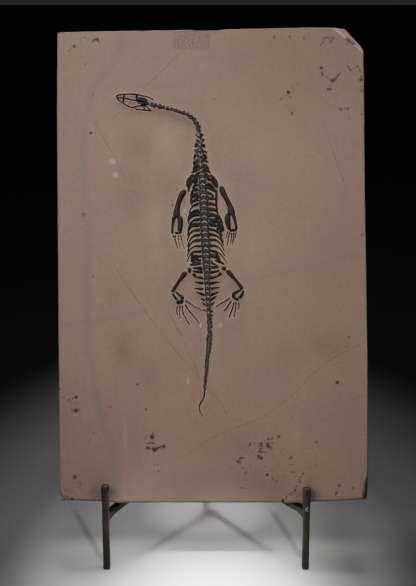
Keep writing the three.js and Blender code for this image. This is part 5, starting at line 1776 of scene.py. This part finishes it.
@dataclass
class Easel:
    """The wrought-iron stand, in millimetres where it stands: two upright posts, two arms and the strut."""

    bar: float = 6.0
    corner: float = 0.9
    hammered: tuple[Grain, ...] = (Grain("CLOUDS", 5.0, 0.34, 1.0), Grain("CLOUDS", 1.1, 0.12, 1.0))

    @staticmethod
    def _limits(node: str) -> tuple[Vector, Vector]:
        """A solid's lowest and highest corner in millimetres."""
        low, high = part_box(node)
        return low / MM, high / MM

    def _section(self, centre: Vector, turn: tuple[float, float, float], half: float) -> bpy.types.Object:
        """A square section with rounded corners, ready to be extruded.

        Args:
            centre: The section's middle.
            turn: How it is turned from lying flat.
            half: Half its side.

        Returns:
            A flat object at that place.
        """
        Bench.clear()
        bpy.ops.mesh.primitive_plane_add(size=2 * half)
        section = bpy.context.object
        with Bench.editing(section, "VERT"):
            bpy.ops.mesh.bevel(offset=self.corner, segments=3, affect="VERTICES")
        turned = Matrix.Rotation(turn[2], 4, "Z") @ Matrix.Rotation(turn[0], 4, "X")
        return Bench.settle(section, Matrix.Translation(centre) @ turned)

    @staticmethod
    def _draw_out(
        bar: bpy.types.Object,
        start: Vector,
        along: Vector,
        steps: Sequence[Point],
        swells: tuple[bool, bool, bool] = (True, True, False),
        pivot: Vector = Vector(),
    ) -> None:
        """Extrudes a section step by step, and changes its size on the way.

        Args:
            bar: The flat section.
            start: Where it starts.
            along: The way it goes.
            steps: How far along and how large, one step after another.
            swells: Which of its three measures change.
            pivot: The place that stays as they do, from the line that it goes along.
        """
        with Bench.editing(bar):
            for (old_run, old_size), (new_run, new_size) in zip(steps, steps[1:]):
                Bench.extrude(along * (new_run - old_run))
                change = [new_size / old_size if swell else 1 for swell in swells]
                bpy.ops.transform.resize(value=change, center_override=start + along * new_run + pivot)
        Bench.face_outwards(bar)

    def _forge(self, bar: bpy.types.Object, name: str, voxel: float) -> bpy.types.Object:
        """Rounds a bar, hammers and pits it, and brings it to metres.

        Args:
            bar: The plain bar.
            name: The piece's name.
            voxel: How finely its surface is made, in millimetres.

        Returns:
            The finished piece.
        """
        iron = Bench.fuse([bar], name, voxel, smoothing=3)
        for grain in self.hammered:
            grain.press(iron)
        Bench.pick(iron)
        bpy.ops.object.shade_smooth()
        return Bench.settle(iron, Matrix.Scale(MM, 4))

    def post(self, side: str) -> bpy.types.Object:
        """Builds an upright post with a spread foot and a blunt prong.

        Args:
            side: Left or right.

        Returns:
            The finished piece.
        """
        low, high = self._limits(f"front_post_{side}")
        middle = (low + high) / 2
        wide, slim = 0.5 * (high.x - low.x), 0.5 * self.bar
        height = high.z
        steps = (
            (0.0, slim - 0.6), (0.8, slim - 0.1), (2.6, slim + 0.1), (7.0, slim + 0.05),
            (0.35 * height, slim - 0.05), (height - 17, slim), (height - 9, slim + 0.1), (height - 5.0, wide),
            (height - 2.4, wide - 0.05), (height - 1.0, wide - 0.6), (height - 0.1, wide - 1.7),
        )
        foot = Vector((middle.x, middle.y, 0))
        bar = self._section(foot, (0, 0, 0), steps[0][1])
        self._draw_out(bar, foot, Vector((0, 0, 1)), steps)
        return self._forge(bar, f"easel_post_{side}", 0.5)

    def arm(self, side: str) -> bpy.types.Object:
        """Builds an arm from a post in to the strut, with a smooth throat under its root.

        Args:
            side: Left or right.

        Returns:
            The finished piece.
        """
        low, high = self._limits(f"support_arm_{side}")
        post_low, post_high = self._limits(f"front_post_{side}")
        post = (post_low + post_high) / 2
        way = -1 if side == "left" else 1
        half = 0.5 * self.bar
        rising = side == "left"
        front_level = low.z + half if rising else high.z - half
        rear_level = high.z - half if rising else low.z + half
        front = Vector((post.x - way * 1.0, low.y, front_level))
        inner = high.x if rising else low.x
        run = abs(inner - front.x)
        depth = high.y - low.y
        reach = depth
        for _ in range(8):
            reach = depth - half * math.hypot(1, reach / run)
        rear = Vector((inner, low.y + reach, rear_level))
        along = (rear - front).normalized()
        root = front - along * 2.4
        angle = math.atan2(along.y, along.x)
        length = (rear - root).length
        throat = ((0.0, 3.4), (2.2, 3.1), (3.6, 2.0), (5.2, 1.1), (7.4, 0.4), (10.5, 0.0))
        tall, top = 2 * half, Vector((0, 0, half))
        steps = [(run, tall + drop) for run, drop in (*throat, (0.5 * length, 0.0), (length, 0.0))]
        bar = self._section(root, (math.pi / 2, 0, angle + math.pi / 2), half)
        with Bench.editing(bar):
            bpy.ops.transform.resize(value=(1, 1, steps[0][1] / tall), center_override=root + top)
        self._draw_out(bar, root, along, steps, (False, False, True), top)
        return self._forge(bar, f"easel_arm_{side}", 0.6)

    def strut(self) -> bpy.types.Object:
        """Builds the strut that leans against the slab's back.

        Returns:
            The finished piece.
        """
        low, high = self._limits("rear_strut")
        middle = 0.5 * (low.x + high.x)
        half = 0.5 * self.bar
        span = high.z
        lean = math.atan2(high.y - low.y - self.bar, span)
        wide = half / math.cos(lean)
        foot = Vector((middle, high.y - wide, 0.0))
        head = Vector((middle, low.y + half * math.cos(lean), span - half * math.sin(lean) - 0.2))
        bar = self._section(foot, (0, 0, 0), half)
        steps = ((0.0, 1.0), (0.01, 1.06), (0.05, 1.0), (0.5, 0.97), (0.97, 1.0), (1.0, 0.8))
        with Bench.editing(bar):
            bpy.ops.transform.resize(value=(1, 1 / math.cos(lean), 1), center_override=foot)
        self._draw_out(bar, foot, head - foot, steps)
        return self._forge(bar, "easel_strut", 0.7)

    def build(self) -> list[tuple[bpy.types.Object, str]]:
        """Builds the stand.

        Returns:
            Each piece with the name of the solid that it stands for.
        """
        pieces = [(self.post(side), f"front_post_{side}") for side in ("left", "right")]
        pieces += [(self.arm(side), f"support_arm_{side}") for side in ("left", "right")]
        pieces.append((self.strut(), "rear_strut"))
        return pieces


# ---- finishes


def tone(red: float, green: float, blue: float) -> Colour:
    """A colour in scene light from its 8-bit display values."""
    parts = (red / 255, green / 255, blue / 255)
    return tuple(part / 12.92 if part <= 0.04045 else ((part + 0.055) / 1.055) ** 2.4 for part in parts)


@dataclass(frozen=True)
class Mudstone:
    """Fine brown-grey mudstone, with its veins, hairline cracks, stains and specks, and painted shade and
    highlights.
    """

    face: LeaningFace
    base: Colour = tone(150, 122, 108)
    grey: Colour = tone(136, 119, 109)
    rosy: Colour = tone(151, 117, 103)
    olive: Colour = tone(118, 102, 90)
    pale: Colour = tone(172, 144, 124)
    # Pale stone next to the bones; also the colour of the painted highlights on the edges.
    rim: Colour = tone(190, 164, 144)
    vein: Colour = tone(126, 113, 108)
    crack: Colour = tone(74, 66, 60)
    ink: Colour = tone(34, 29, 25)
    fresh: Colour = tone(106, 88, 75)
    dusty: Colour = tone(206, 188, 174)
    chalk: tuple[tuple[Point, float, Point], ...] = (
        ((-79.8, 272.6), 3.6, (1.0, 0.7)),
        ((-77.4, 261.8), 3.2, (1.0, 1.0)),
        ((-21.9, 233.2), 1.6, (0.8, 2.0)),
        ((-9.4, 142.0), 1.9, (0.8, 1.5)),
        ((6.2, 141.8), 2.6, (0.9, 1.1)),
        ((-19.5, 97.7), 2.2, (0.7, 1.4)),
    )
    # Soft darker spots: centre, reach each way and strength. Most are painted shade: the prongs' shadows
    # beside each post, the bottom middle where light comes back up from the floor, and the top right. Three
    # darken the stone at corners.
    painted_shade_spots: tuple[tuple[Point, Point, float], ...] = (
        ((-93.9, 7.5), (6.5, 6.5), 0.7),
        ((-78.2, 7.8), (6.5, 6.5), 0.7),
        ((68.5, 5.4), (6.5, 6.0), 0.7),
        ((82.5, 6.0), (6.5, 6.0), 0.7),
        ((122.9, 12.0), (2.6, 10.0), 1.0),
        ((-121.4, 6.5), (1.4, 5.0), 0.9),
        ((111.0, 369.5), (8.0, 6.0), 0.9),
        ((12.0, 2.0), (85.0, 75.0), 0.8),
        ((10.0, 0.0), (85.0, 38.0), 1.0),
        ((75.0, 352.0), (80.0, 55.0), 0.24),
    )

    def dress(self) -> bpy.types.Material:
        """Builds the material.

        Returns:
            The finished material.
        """
        g = Graph("mudstone")
        at = g.place(self.face)
        plane = g.flat(at)
        right, up, out = g.split(at)
        broad, middle, fine = g.noise(at, 0.011, 2), g.noise(at, 0.045, 4, 0.6), g.noise(at, 0.5, 5, 0.65)
        warm = g.noise(g.vector("ADD", at, (310, 90, 40)), 0.022, 3)
        rosy, olive, bright = g.split(g.attribute("patches", "Vector"))
        streaks = g.noise(g.vector("MULTIPLY", at, (1, 0.045, 1)), 0.24, 3)
        colour = g.mix(self.base, self.grey, broad.rise(0.42, 0.62) * 0.5)
        colour = g.mix(colour, self.rosy, warm.rise(0.52, 0.68) * 0.22)
        colour = g.mix(colour, self.rosy, rosy * (0.3 + 0.55 * middle))
        colour = g.mix(colour, self.olive, olive * (0.3 + 0.7 * middle))
        colour = g.mix(colour, self.pale, middle.rise(0.54, 0.76) * 0.22)
        colour = g.mix(colour, self.pale, bright * (0.2 + 0.7 * middle))
        colour = g.tint(colour, (0.88, 0.87, 0.87), streaks.rise(0.46, 0.62) * 0.15)
        colour = g.tint(colour, (0.88, 0.88, 0.9), g.noise(at, 0.28, 3, 0.6).rise(0.4, 0.62) * 0.5)
        colour = g.mix(colour, self.pale, g.noise(at, 0.95, 2, 0.7).rise(0.5, 0.7) * 0.2)
        colour = g.tint(colour, (0.86, 0.84, 0.83), fine.rise(0.5, 0.72) * 0.5)
        colour = g.mix(colour, self.pale, g.noise(at, 1.9, 3).rise(0.6, 0.78) * 0.16)
        reach = g.attribute("bone_reach")
        colour = g.mix(colour, self.pale, reach.fall(0.0, 2.2) * 0.15)
        colour = g.mix(colour, self.rim, reach.fall(0.35, 1.1) * (0.27 + 0.4 * g.noise(at, 0.7, 2)))
        # Painted shade in a band a few millimetres round the bones.
        painted_fringe_shade = reach.rise(2.0, 6.0) * reach.fall(8.0, 13.0)
        colour = g.tint(colour, (0.84, 0.8, 0.79), painted_fringe_shade * middle.rise(0.35, 0.6) * 0.3)
        wiggle = (g.noise(at, 0.16, 3) - 0.5) * 3.0
        for name, width, share in (("upright_vein", 5.4, 0.4), ("level_vein", 3.4, 0.24)):
            across, _, window = g.split(g.attribute(name, "Vector"))
            band = abs(across + wiggle).fall(0.6, width) * window * (0.55 + 0.9 * middle)
            colour = g.mix(colour, self.vein, band * (share + 0.3 * middle))
        shake = (g.noise(at, 0.35, 4) - 0.5) * 0.9
        lines = []
        for name in ("cracks", "side_crack"):
            across, _, window = g.split(g.attribute(name, "Vector"))
            lines.append(abs(across + shake).fall(0.05, 0.34) * window)
        broken = g.noise(at, 0.12, 3).rise(0.38, 0.55)
        lines = reduce(or_, lines) * (0.3 + 0.7 * broken)
        colour = g.mix(colour, self.crack, lines * 0.56)
        away_right, away_up, darkness = g.split(g.attribute("speck", "Vector"))
        square = away_right * away_right + away_up * away_up
        rag = 0.04 + 2.3 * g.noise(at, 1.2, 4, 0.75).rise(0.3, 0.72)
        dark = (square / rag).fall(0.6, 1.3) * darkness
        dust = g.noise(at, 1.4, 2).rise(0.7, 0.78) * square.fall(2.0, 30.0) * 0.4
        dark = dark | dust
        colour = g.mix(colour, self.ink, dark * 0.95)
        pecked = right.rise(-32.5, -29.5) * right.fall(-3.0, -0.8)
        pecked = pecked * up.rise(361.0, 363.5) * up.fall(375.0, 377.0)
        pecks = pecked * g.noise(at, 0.75, 3, 0.7).rise(0.42, 0.6)
        colour = g.tint(colour, (0.62, 0.62, 0.64), pecks * 0.95)
        colour = g.tint(colour, (0.9, 0.9, 0.92), pecked * 0.3)
        chalk = reduce(or_, (g.spot(plane, *smudge) for smudge in self.chalk))
        scuff = g.noise(at, 1.2, 4, 0.75).rise(0.47, 0.6)
        colour = g.mix(colour, self.dusty, chalk * (0.1 + 0.9 * scuff))
        # Painted shade, and darker corners, from the spots above.
        for centre, spread, share in self.painted_shade_spots:
            colour = g.tint(colour, (0.65, 0.655, 0.66), g.spot(plane, centre, 1.0, spread) * share)
        # Painted highlights: a pale line on the crest of the top right break, and pale lines along the top
        # and side edges.
        painted_ridge_highlight = abs((right - 98.1) * 0.6 + (up - 378.2) * 0.8).fall(0.25, 0.7)
        painted_ridge_highlight = painted_ridge_highlight * right.rise(97.0, 99.0) * right.fall(107.0, 108.5)
        edge = g.attribute("edge_reach")
        painted_bottom_shade_and_dirt = edge.fall(1.2, 2.3) * up.fall(6.0, 9.0)
        lip = edge.fall(0.5, 1.1) * up.rise(12.0, 20.0) * (0.25 + 0.6 * fine)
        colour = g.mix(colour, self.rim, (painted_ridge_highlight | lip) * 0.45)
        # Painted shade, with some dirt, along the bottom edge where the face turns down.
        colour = g.tint(colour, (0.42, 0.4, 0.39), painted_bottom_shade_and_dirt * (0.35 + 0.9 * middle))
        side = out.fall(-2.2, -0.9)
        colour = g.mix(colour, self.fresh, side * 0.55)
        rough = 0.62 + 0.2 * middle - 0.1 * dark
        height = g.noise(at, 0.9, 6, 0.65)
        bump = g.bump(height, 0.11)
        bump = g.bump(lines * -1.0, 0.15, bump)
        return g.finish(Base_Color=colour, Roughness=rough, Normal=bump, Specular_IOR_Level=0.35)


@dataclass(frozen=True)
class FossilBone:
    """Near-black mineralised bone with a faint sheen, worn grey on its high places."""

    face: LeaningFace
    black: Colour = tone(26, 25, 22)
    deep: Colour = tone(12, 12, 11)
    worn: Colour = tone(84, 78, 70)
    ash: Colour = tone(104, 99, 93)
    matrix: Colour = tone(172, 148, 130)
    brown: Colour = tone(78, 56, 42)
    chalky: Colour = tone(214, 190, 175)
    lilac: Colour = tone(88, 80, 82)
    crumbs: tuple[tuple[Point, Point, float], ...] = (
        ((-1.4, 259.4), (0.9, 0.8), 0.8),
        ((-15.9, 259), (0.8, 0.8), 1.0),
        ((-8.8, 192.5), (0.4, 1.4), 0.7),
        ((0.8, 228.1), (1.6, 0.6), 0.8),
        ((-1.2, 224.1), (1.4, 0.6), 0.8),
        ((3.4, 222.5), (0.6, 0.7), 0.8),
        ((5.0, 229.7), (0.6, 1.1), 0.45),
        ((5.4, 225.2), (0.6, 1.2), 0.45),
        ((7.1, 222.9), (0.5, 1.0), 0.45),
        ((5.0, 217.2), (0.7, 0.9), 0.45),
        ((2.9, 219.8), (2.0, 0.5), 0.7),
        ((-13.0, 244.2), (1.5, 0.5), 0.35),
        ((-12.8, 228.4), (1.6, 0.5), 0.5),
        ((-11.0, 198.2), (1.2, 0.6), 0.8),
        ((-11.4, 188.9), (1.8, 0.5), 0.6),
        ((1.9, 189.6), (1.7, 0.4), 0.7),
        ((1.0, 194.3), (0.6, 0.9), 0.8),
    )

    def _dress_spine(self, g: Graph, colour: Sock, fine: Sock) -> Sock:
        """Marks the vertebrae: pale seams and dots of stone, and greyer cores in neck and tail; the tail's
        core is partly a painted sheen.

        Args:
            g: The graph.
            colour: The bone's colour so far.
            fine: Fine noise that breaks the marks up.

        Returns:
            The colour with the marks.
        """
        across, along, window = g.split(g.attribute("trunk", "Vector"))
        sway = (g.noise(g.place(self.face), 0.35, 2) - 0.5) * 0.16
        beat = (along + sway + 0.25).fraction()
        wide = abs(across + sway)
        seam = abs(beat - 0.27 - 0.6 * wide).fall(0.05, 0.12) * wide.fall(0.42, 0.62)
        dot = (abs(wide - 0.32) * 1.4 + abs(beat - 0.98)).fall(0.04, 0.13) * 0.7
        open_side = abs(beat - 0.2).fall(0.08, 0.2) | along.rise(15.6, 16.6)
        border = abs(wide - 1.04).fall(0.04, 0.16) * open_side * (0.35 + 0.8 * fine.rise(0.4, 0.6))
        worn = g.noise(g.place(self.face), 0.28, 2, 0.6).rise(0.36, 0.6)
        marks = seam * (0.35 + 0.65 * worn) | dot * (0.9 - 0.5 * worn) | border * 0.85
        colour = g.mix(colour, self.chalky, marks * window * (0.55 + 0.6 * fine))
        across, along, window = g.split(g.attribute("low_neck", "Vector"))
        beat = (along + sway).fraction()
        heart = (abs(across) + abs(beat - 0.45) * 1.6).fall(0.16, 0.42) * window
        crumbled = g.noise(g.place(self.face), 0.55, 3, 0.7).rise(0.56, 0.64)
        crumbled = crumbled * window * abs(across).fall(1.2, 2.2)
        colour = g.mix(colour, self.chalky, heart * (0.2 + 0.6 * fine) | crumbled * 0.6)
        across, along, window = g.split(g.attribute("high_neck", "Vector"))
        core = abs(across + 0.1).fall(0.2, 0.7) * window * (0.06 + 0.8 * along.fall(4.0, 8.0))
        colour = g.mix(colour, self.lilac, core * (0.1 + 0.9 * fine))
        # A greyer core along the tail: grey bone with a painted sheen.
        across, _, window = g.split(g.attribute("tail", "Vector"))
        return g.mix(colour, self.ash, abs(across).fall(0.2, 0.8) * window * (0.15 + 0.7 * fine))

    def dress(self) -> bpy.types.Material:
        """Builds the material.

        Returns:
            The finished material.
        """
        g = Graph("fossil_bone")
        at = g.place(self.face)
        _, _, out = g.split(at)
        coarse, fine = g.noise(at, 0.5, 4, 0.6), g.noise(at, 2.6, 4, 0.6)
        colour = g.mix(self.black, self.deep, coarse.rise(0.42, 0.62))
        colour = g.mix(colour, self.worn, (out + fine).rise(1.9, 3.1) * (0.12 + 0.3 * fine))
        flecks = g.noise(at, 1.1, 3, 0.6).rise(0.56, 0.7)
        colour = g.mix(colour, self.ash, flecks * 0.4)
        colour = g.mix(colour, self.brown, g.noise(at, 0.16, 3).rise(0.6, 0.75) * 0.3)
        plane = g.flat(at)
        colour = g.mix(colour, self.brown, g.spot(plane, (-12.6, 192.4), 2.4, (1.0, 0.8)) * 0.6)
        for centre, spread, share in self.crumbs:
            colour = g.mix(colour, self.matrix, g.spot(plane, centre, 1.0, spread) * share)
        colour = self._dress_spine(g, colour, fine)
        pits = g.cells(at, 1.6)
        rough = 0.4 + 0.3 * fine
        bump = g.bump(fine + 0.4 * pits, 0.2)
        return g.finish(Base_Color=colour, Roughness=rough, Normal=bump, Specular_IOR_Level=0.22)


@dataclass(frozen=True)
class WroughtIron:
    """Dark waxed iron, brown where the wax is worn, with hammer marks and a small painted glint where the
    right arm meets its post.
    """

    dark: Colour = tone(50, 47, 43)
    bronze: Colour = tone(74, 63, 53)
    dust: Colour = tone(96, 90, 82)
    painted_glint: Colour = tone(176, 170, 162)

    def dress(self) -> bpy.types.Material:
        """Builds the material.

        Returns:
            The finished material.
        """
        g = Graph("wrought_iron")
        at = g.place()
        coarse, fine = g.noise(at, 0.09, 4, 0.6), g.noise(at, 0.8, 5, 0.65)
        colour = g.mix(self.dark, self.bronze, coarse.rise(0.45, 0.65) * 0.7)
        colour = g.mix(colour, self.dust, fine.rise(0.6, 0.8) * 0.35)
        across, back, level = g.split(at)
        # A painted glint: a small pale < on the front of the right post, where the arm meets it.
        fork = abs(abs(level - 53.4) - 0.7 * (across - 73.7)).fall(0.25, 0.7)
        painted_weld_glint = fork * abs(across - 74.8).fall(0.9, 1.3) * back.fall(-70.6, -69.8)
        colour = g.mix(colour, self.painted_glint, painted_weld_glint * 0.75)
        rough = 0.38 + 0.32 * fine
        metal = 0.75 - 0.35 * fine.rise(0.55, 0.75)
        bump = g.bump(g.cells(at, 0.35) + 0.6 * fine, 0.3)
        return g.finish(Base_Color=colour, Roughness=rough, Metallic=metal, Normal=bump)


@dataclass(frozen=True)
class StudioFloor:
    """Pale seamless paper with painted light and shade: a pool of light at the front that falls into shade
    towards the back and sides, shade under the slab and to the right, and the posts' shadows.
    """

    paper: Colour = (0.86, 0.86, 0.86)
    dim: Colour = (0.16, 0.16, 0.16)
    shade: Colour = (0.001, 0.001, 0.001)
    # Painted shadows of the two posts: the foot and the slope of each.
    streaks: tuple[tuple[Point, float], ...] = (((-89.7, -54.0), -0.352), ((72.3, -43.0), -0.226))

    def dress(self) -> bpy.types.Material:
        """Builds the material.

        Returns:
            The finished material.
        """
        g = Graph("studio_floor")
        at = g.place()
        across, back, _ = g.split(at)
        # Painted light and shade: bright at the front middle, falling off to the sides and back.
        off = back + 90.0
        away = (across * across * 1.6 + off * off * 0.35) / 10000.0
        colour = g.mix(self.paper, self.dim, away.rise(0.0, 5.0))
        # Painted shade: darker at the sides, behind the posts' line under the slab except in an oval behind
        # the middle, and to the right.
        outside = abs(across).rise(60.0, 190.0) * (0.26 + 0.16 * back.fall(-80.0, 30.0))
        hollow = ((across + 3.0) * (across + 3.0) + (back - 42.0) * (back - 42.0)) / 2000.0
        under = back.rise(-38.0, -4.0) * abs(across).fall(105.0, 170.0) * hollow.rise(0.0, 2.2)
        right = across.rise(50.0, 120.0) * (0.22 + 0.36 * back.fall(-70.0, 45.0))
        shares = [away.rise(1.5, 18.0), outside, under * 0.55, right]
        # The posts' painted shadows, running back from each foot.
        for (foot_across, foot_back), slope in self.streaks:
            beside = abs(across - foot_across - (back - foot_back) * slope)
            shares.append(beside.fall(0.8, 5.0) * back.rise(-62.0, -44.0) * back.fall(28.0, 52.0) * 0.3)
        for share in shares:
            colour = g.mix(colour, self.shade, share)
        rough = 0.75 + 0.1 * g.noise(at, 0.02, 2)
        return g.finish(Base_Color=colour, Roughness=rough, Specular_IOR_Level=0.2)


# ---- the studio


@dataclass(frozen=True)
class Lamp:
    """A square soft light.

    Attributes:
        name: The light's name.
        place: Where it hangs.
        aim: What it points at.
        size: The length of its sides.
        power: Its power in watts.
        spread: How wide it shines, in degrees.
    """

    name: str
    place: Station
    aim: Station
    size: float
    power: float
    spread: float = 180.0

    def hang(self) -> None:
        """Hangs the light."""
        way = Vector(self.aim) - Vector(self.place)
        turn = way.to_track_quat("-Z", "Y").to_euler()
        Bench.clear()
        bpy.ops.object.light_add(type="AREA", location=self.place, rotation=turn)
        lamp = bpy.context.object
        lamp.name = self.name
        lamp.data.size = self.size
        lamp.data.energy = self.power
        lamp.data.spread = math.radians(self.spread)


@dataclass
class Studio:
    """Floor, lights and camera."""

    face: LeaningFace
    aim: Point = (-3.5, 167.6)
    distance: float = 0.94
    lens: float = 72.37
    lamps: tuple[Lamp, ...] = (
        Lamp("key_light", (-0.55, -1.1, 0.95), (-0.03, -0.01, 0.31), 0.3, 0.42, 30),
        Lamp("low_light", (0.42, -1.3, 0.78), (0, 0, 0.12), 0.13, 1.5),
        Lamp("top_light", (0.05, 0.03, 1.4), (0, -0.05, 0.1), 0.6, 13),
        Lamp("front_light", (0.0, -0.52, 1.0), (0.0, -0.106, 0), 0.08, 0.14, 7),
        Lamp("back_light", (0.0, 0.28, 1.4), (0.0, -0.14, 0), 0.45, 0.22, 13),
        Lamp("rear_light", (-0.25, 1.0, 0.62), (0, 0.02, 0.25), 0.12, 0.12, 17),
    )

    def floor(self) -> bpy.types.Object:
        """Lays the paper that the easel stands on.

        Returns:
            The paper.
        """
        Bench.clear()
        bpy.ops.mesh.primitive_grid_add(x_subdivisions=8, y_subdivisions=8, size=40, location=(0, 0, 0))
        paper = bpy.context.object
        paper.name = "studio_paper"
        paper.data.materials.append(StudioFloor().dress())
        Bench.settle(paper)
        return paper

    def light(self) -> None:
        """Hangs the lights and sets the room's dim glow."""
        for lamp in self.lamps:
            lamp.hang()
        world = bpy.data.worlds.new("studio_room")
        world.use_nodes = True
        glow = world.node_tree.nodes["Background"]
        glow.inputs["Color"].default_value = (0.5, 0.5, 0.52, 1)
        glow.inputs["Strength"].default_value = 0.05
        bpy.context.scene.world = world

    def camera(self) -> None:
        """Sets the camera square to the slab's face."""
        target = self.face.matrix @ Vector((*self.aim, 0))
        place = target + self.face.outward * self.distance
        turn = (-self.face.outward).to_track_quat("-Z", "Y").to_euler()
        Bench.clear()
        bpy.ops.object.camera_add(location=place, rotation=turn)
        camera = bpy.context.object
        camera.data.sensor_fit = "VERTICAL"
        camera.data.sensor_height = 36
        camera.data.lens = self.lens
        camera.data.clip_end = 50
        bpy.context.scene.camera = camera


# ---- assembly


def enrol(piece: bpy.types.Object, node: str, finish: bpy.types.Material) -> None:
    """Gives a piece its finish and lets it stand for a solid.

    Args:
        piece: The finished piece.
        node: The solid that it replaces.
        finish: Its material.
    """
    piece.data.materials.clear()
    piece.data.materials.append(finish)
    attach(piece, BODY)
    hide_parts(node)
    log.info("%s: %d faces, for %s", piece.name, len(piece.data.polygons), node)


def main() -> None:
    """Builds the plate and its easel, and the studio round them."""
    logging.basicConfig(level=logging.INFO, format="%(message)s")
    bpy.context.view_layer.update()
    face = LeaningFace.of_slab(top=379.8, thickness=16.0, wear=1.0, lean=math.radians(15))
    bone, stone, iron = FossilBone(face).dress(), Mudstone(face).dress(), WroughtIron().dress()
    skeleton = Skeleton(face)
    for piece, node in skeleton.build():
        enrol(piece, node, bone)
    enrol(Slab(face, skeleton.lines(), skeleton.beds()).build(), "matrix_slab", stone)
    for piece, node in Easel().build():
        enrol(piece, node, iron)
    studio = Studio(face)
    studio.floor()
    studio.light()
    studio.camera()


if __name__ == "__main__":
    main()
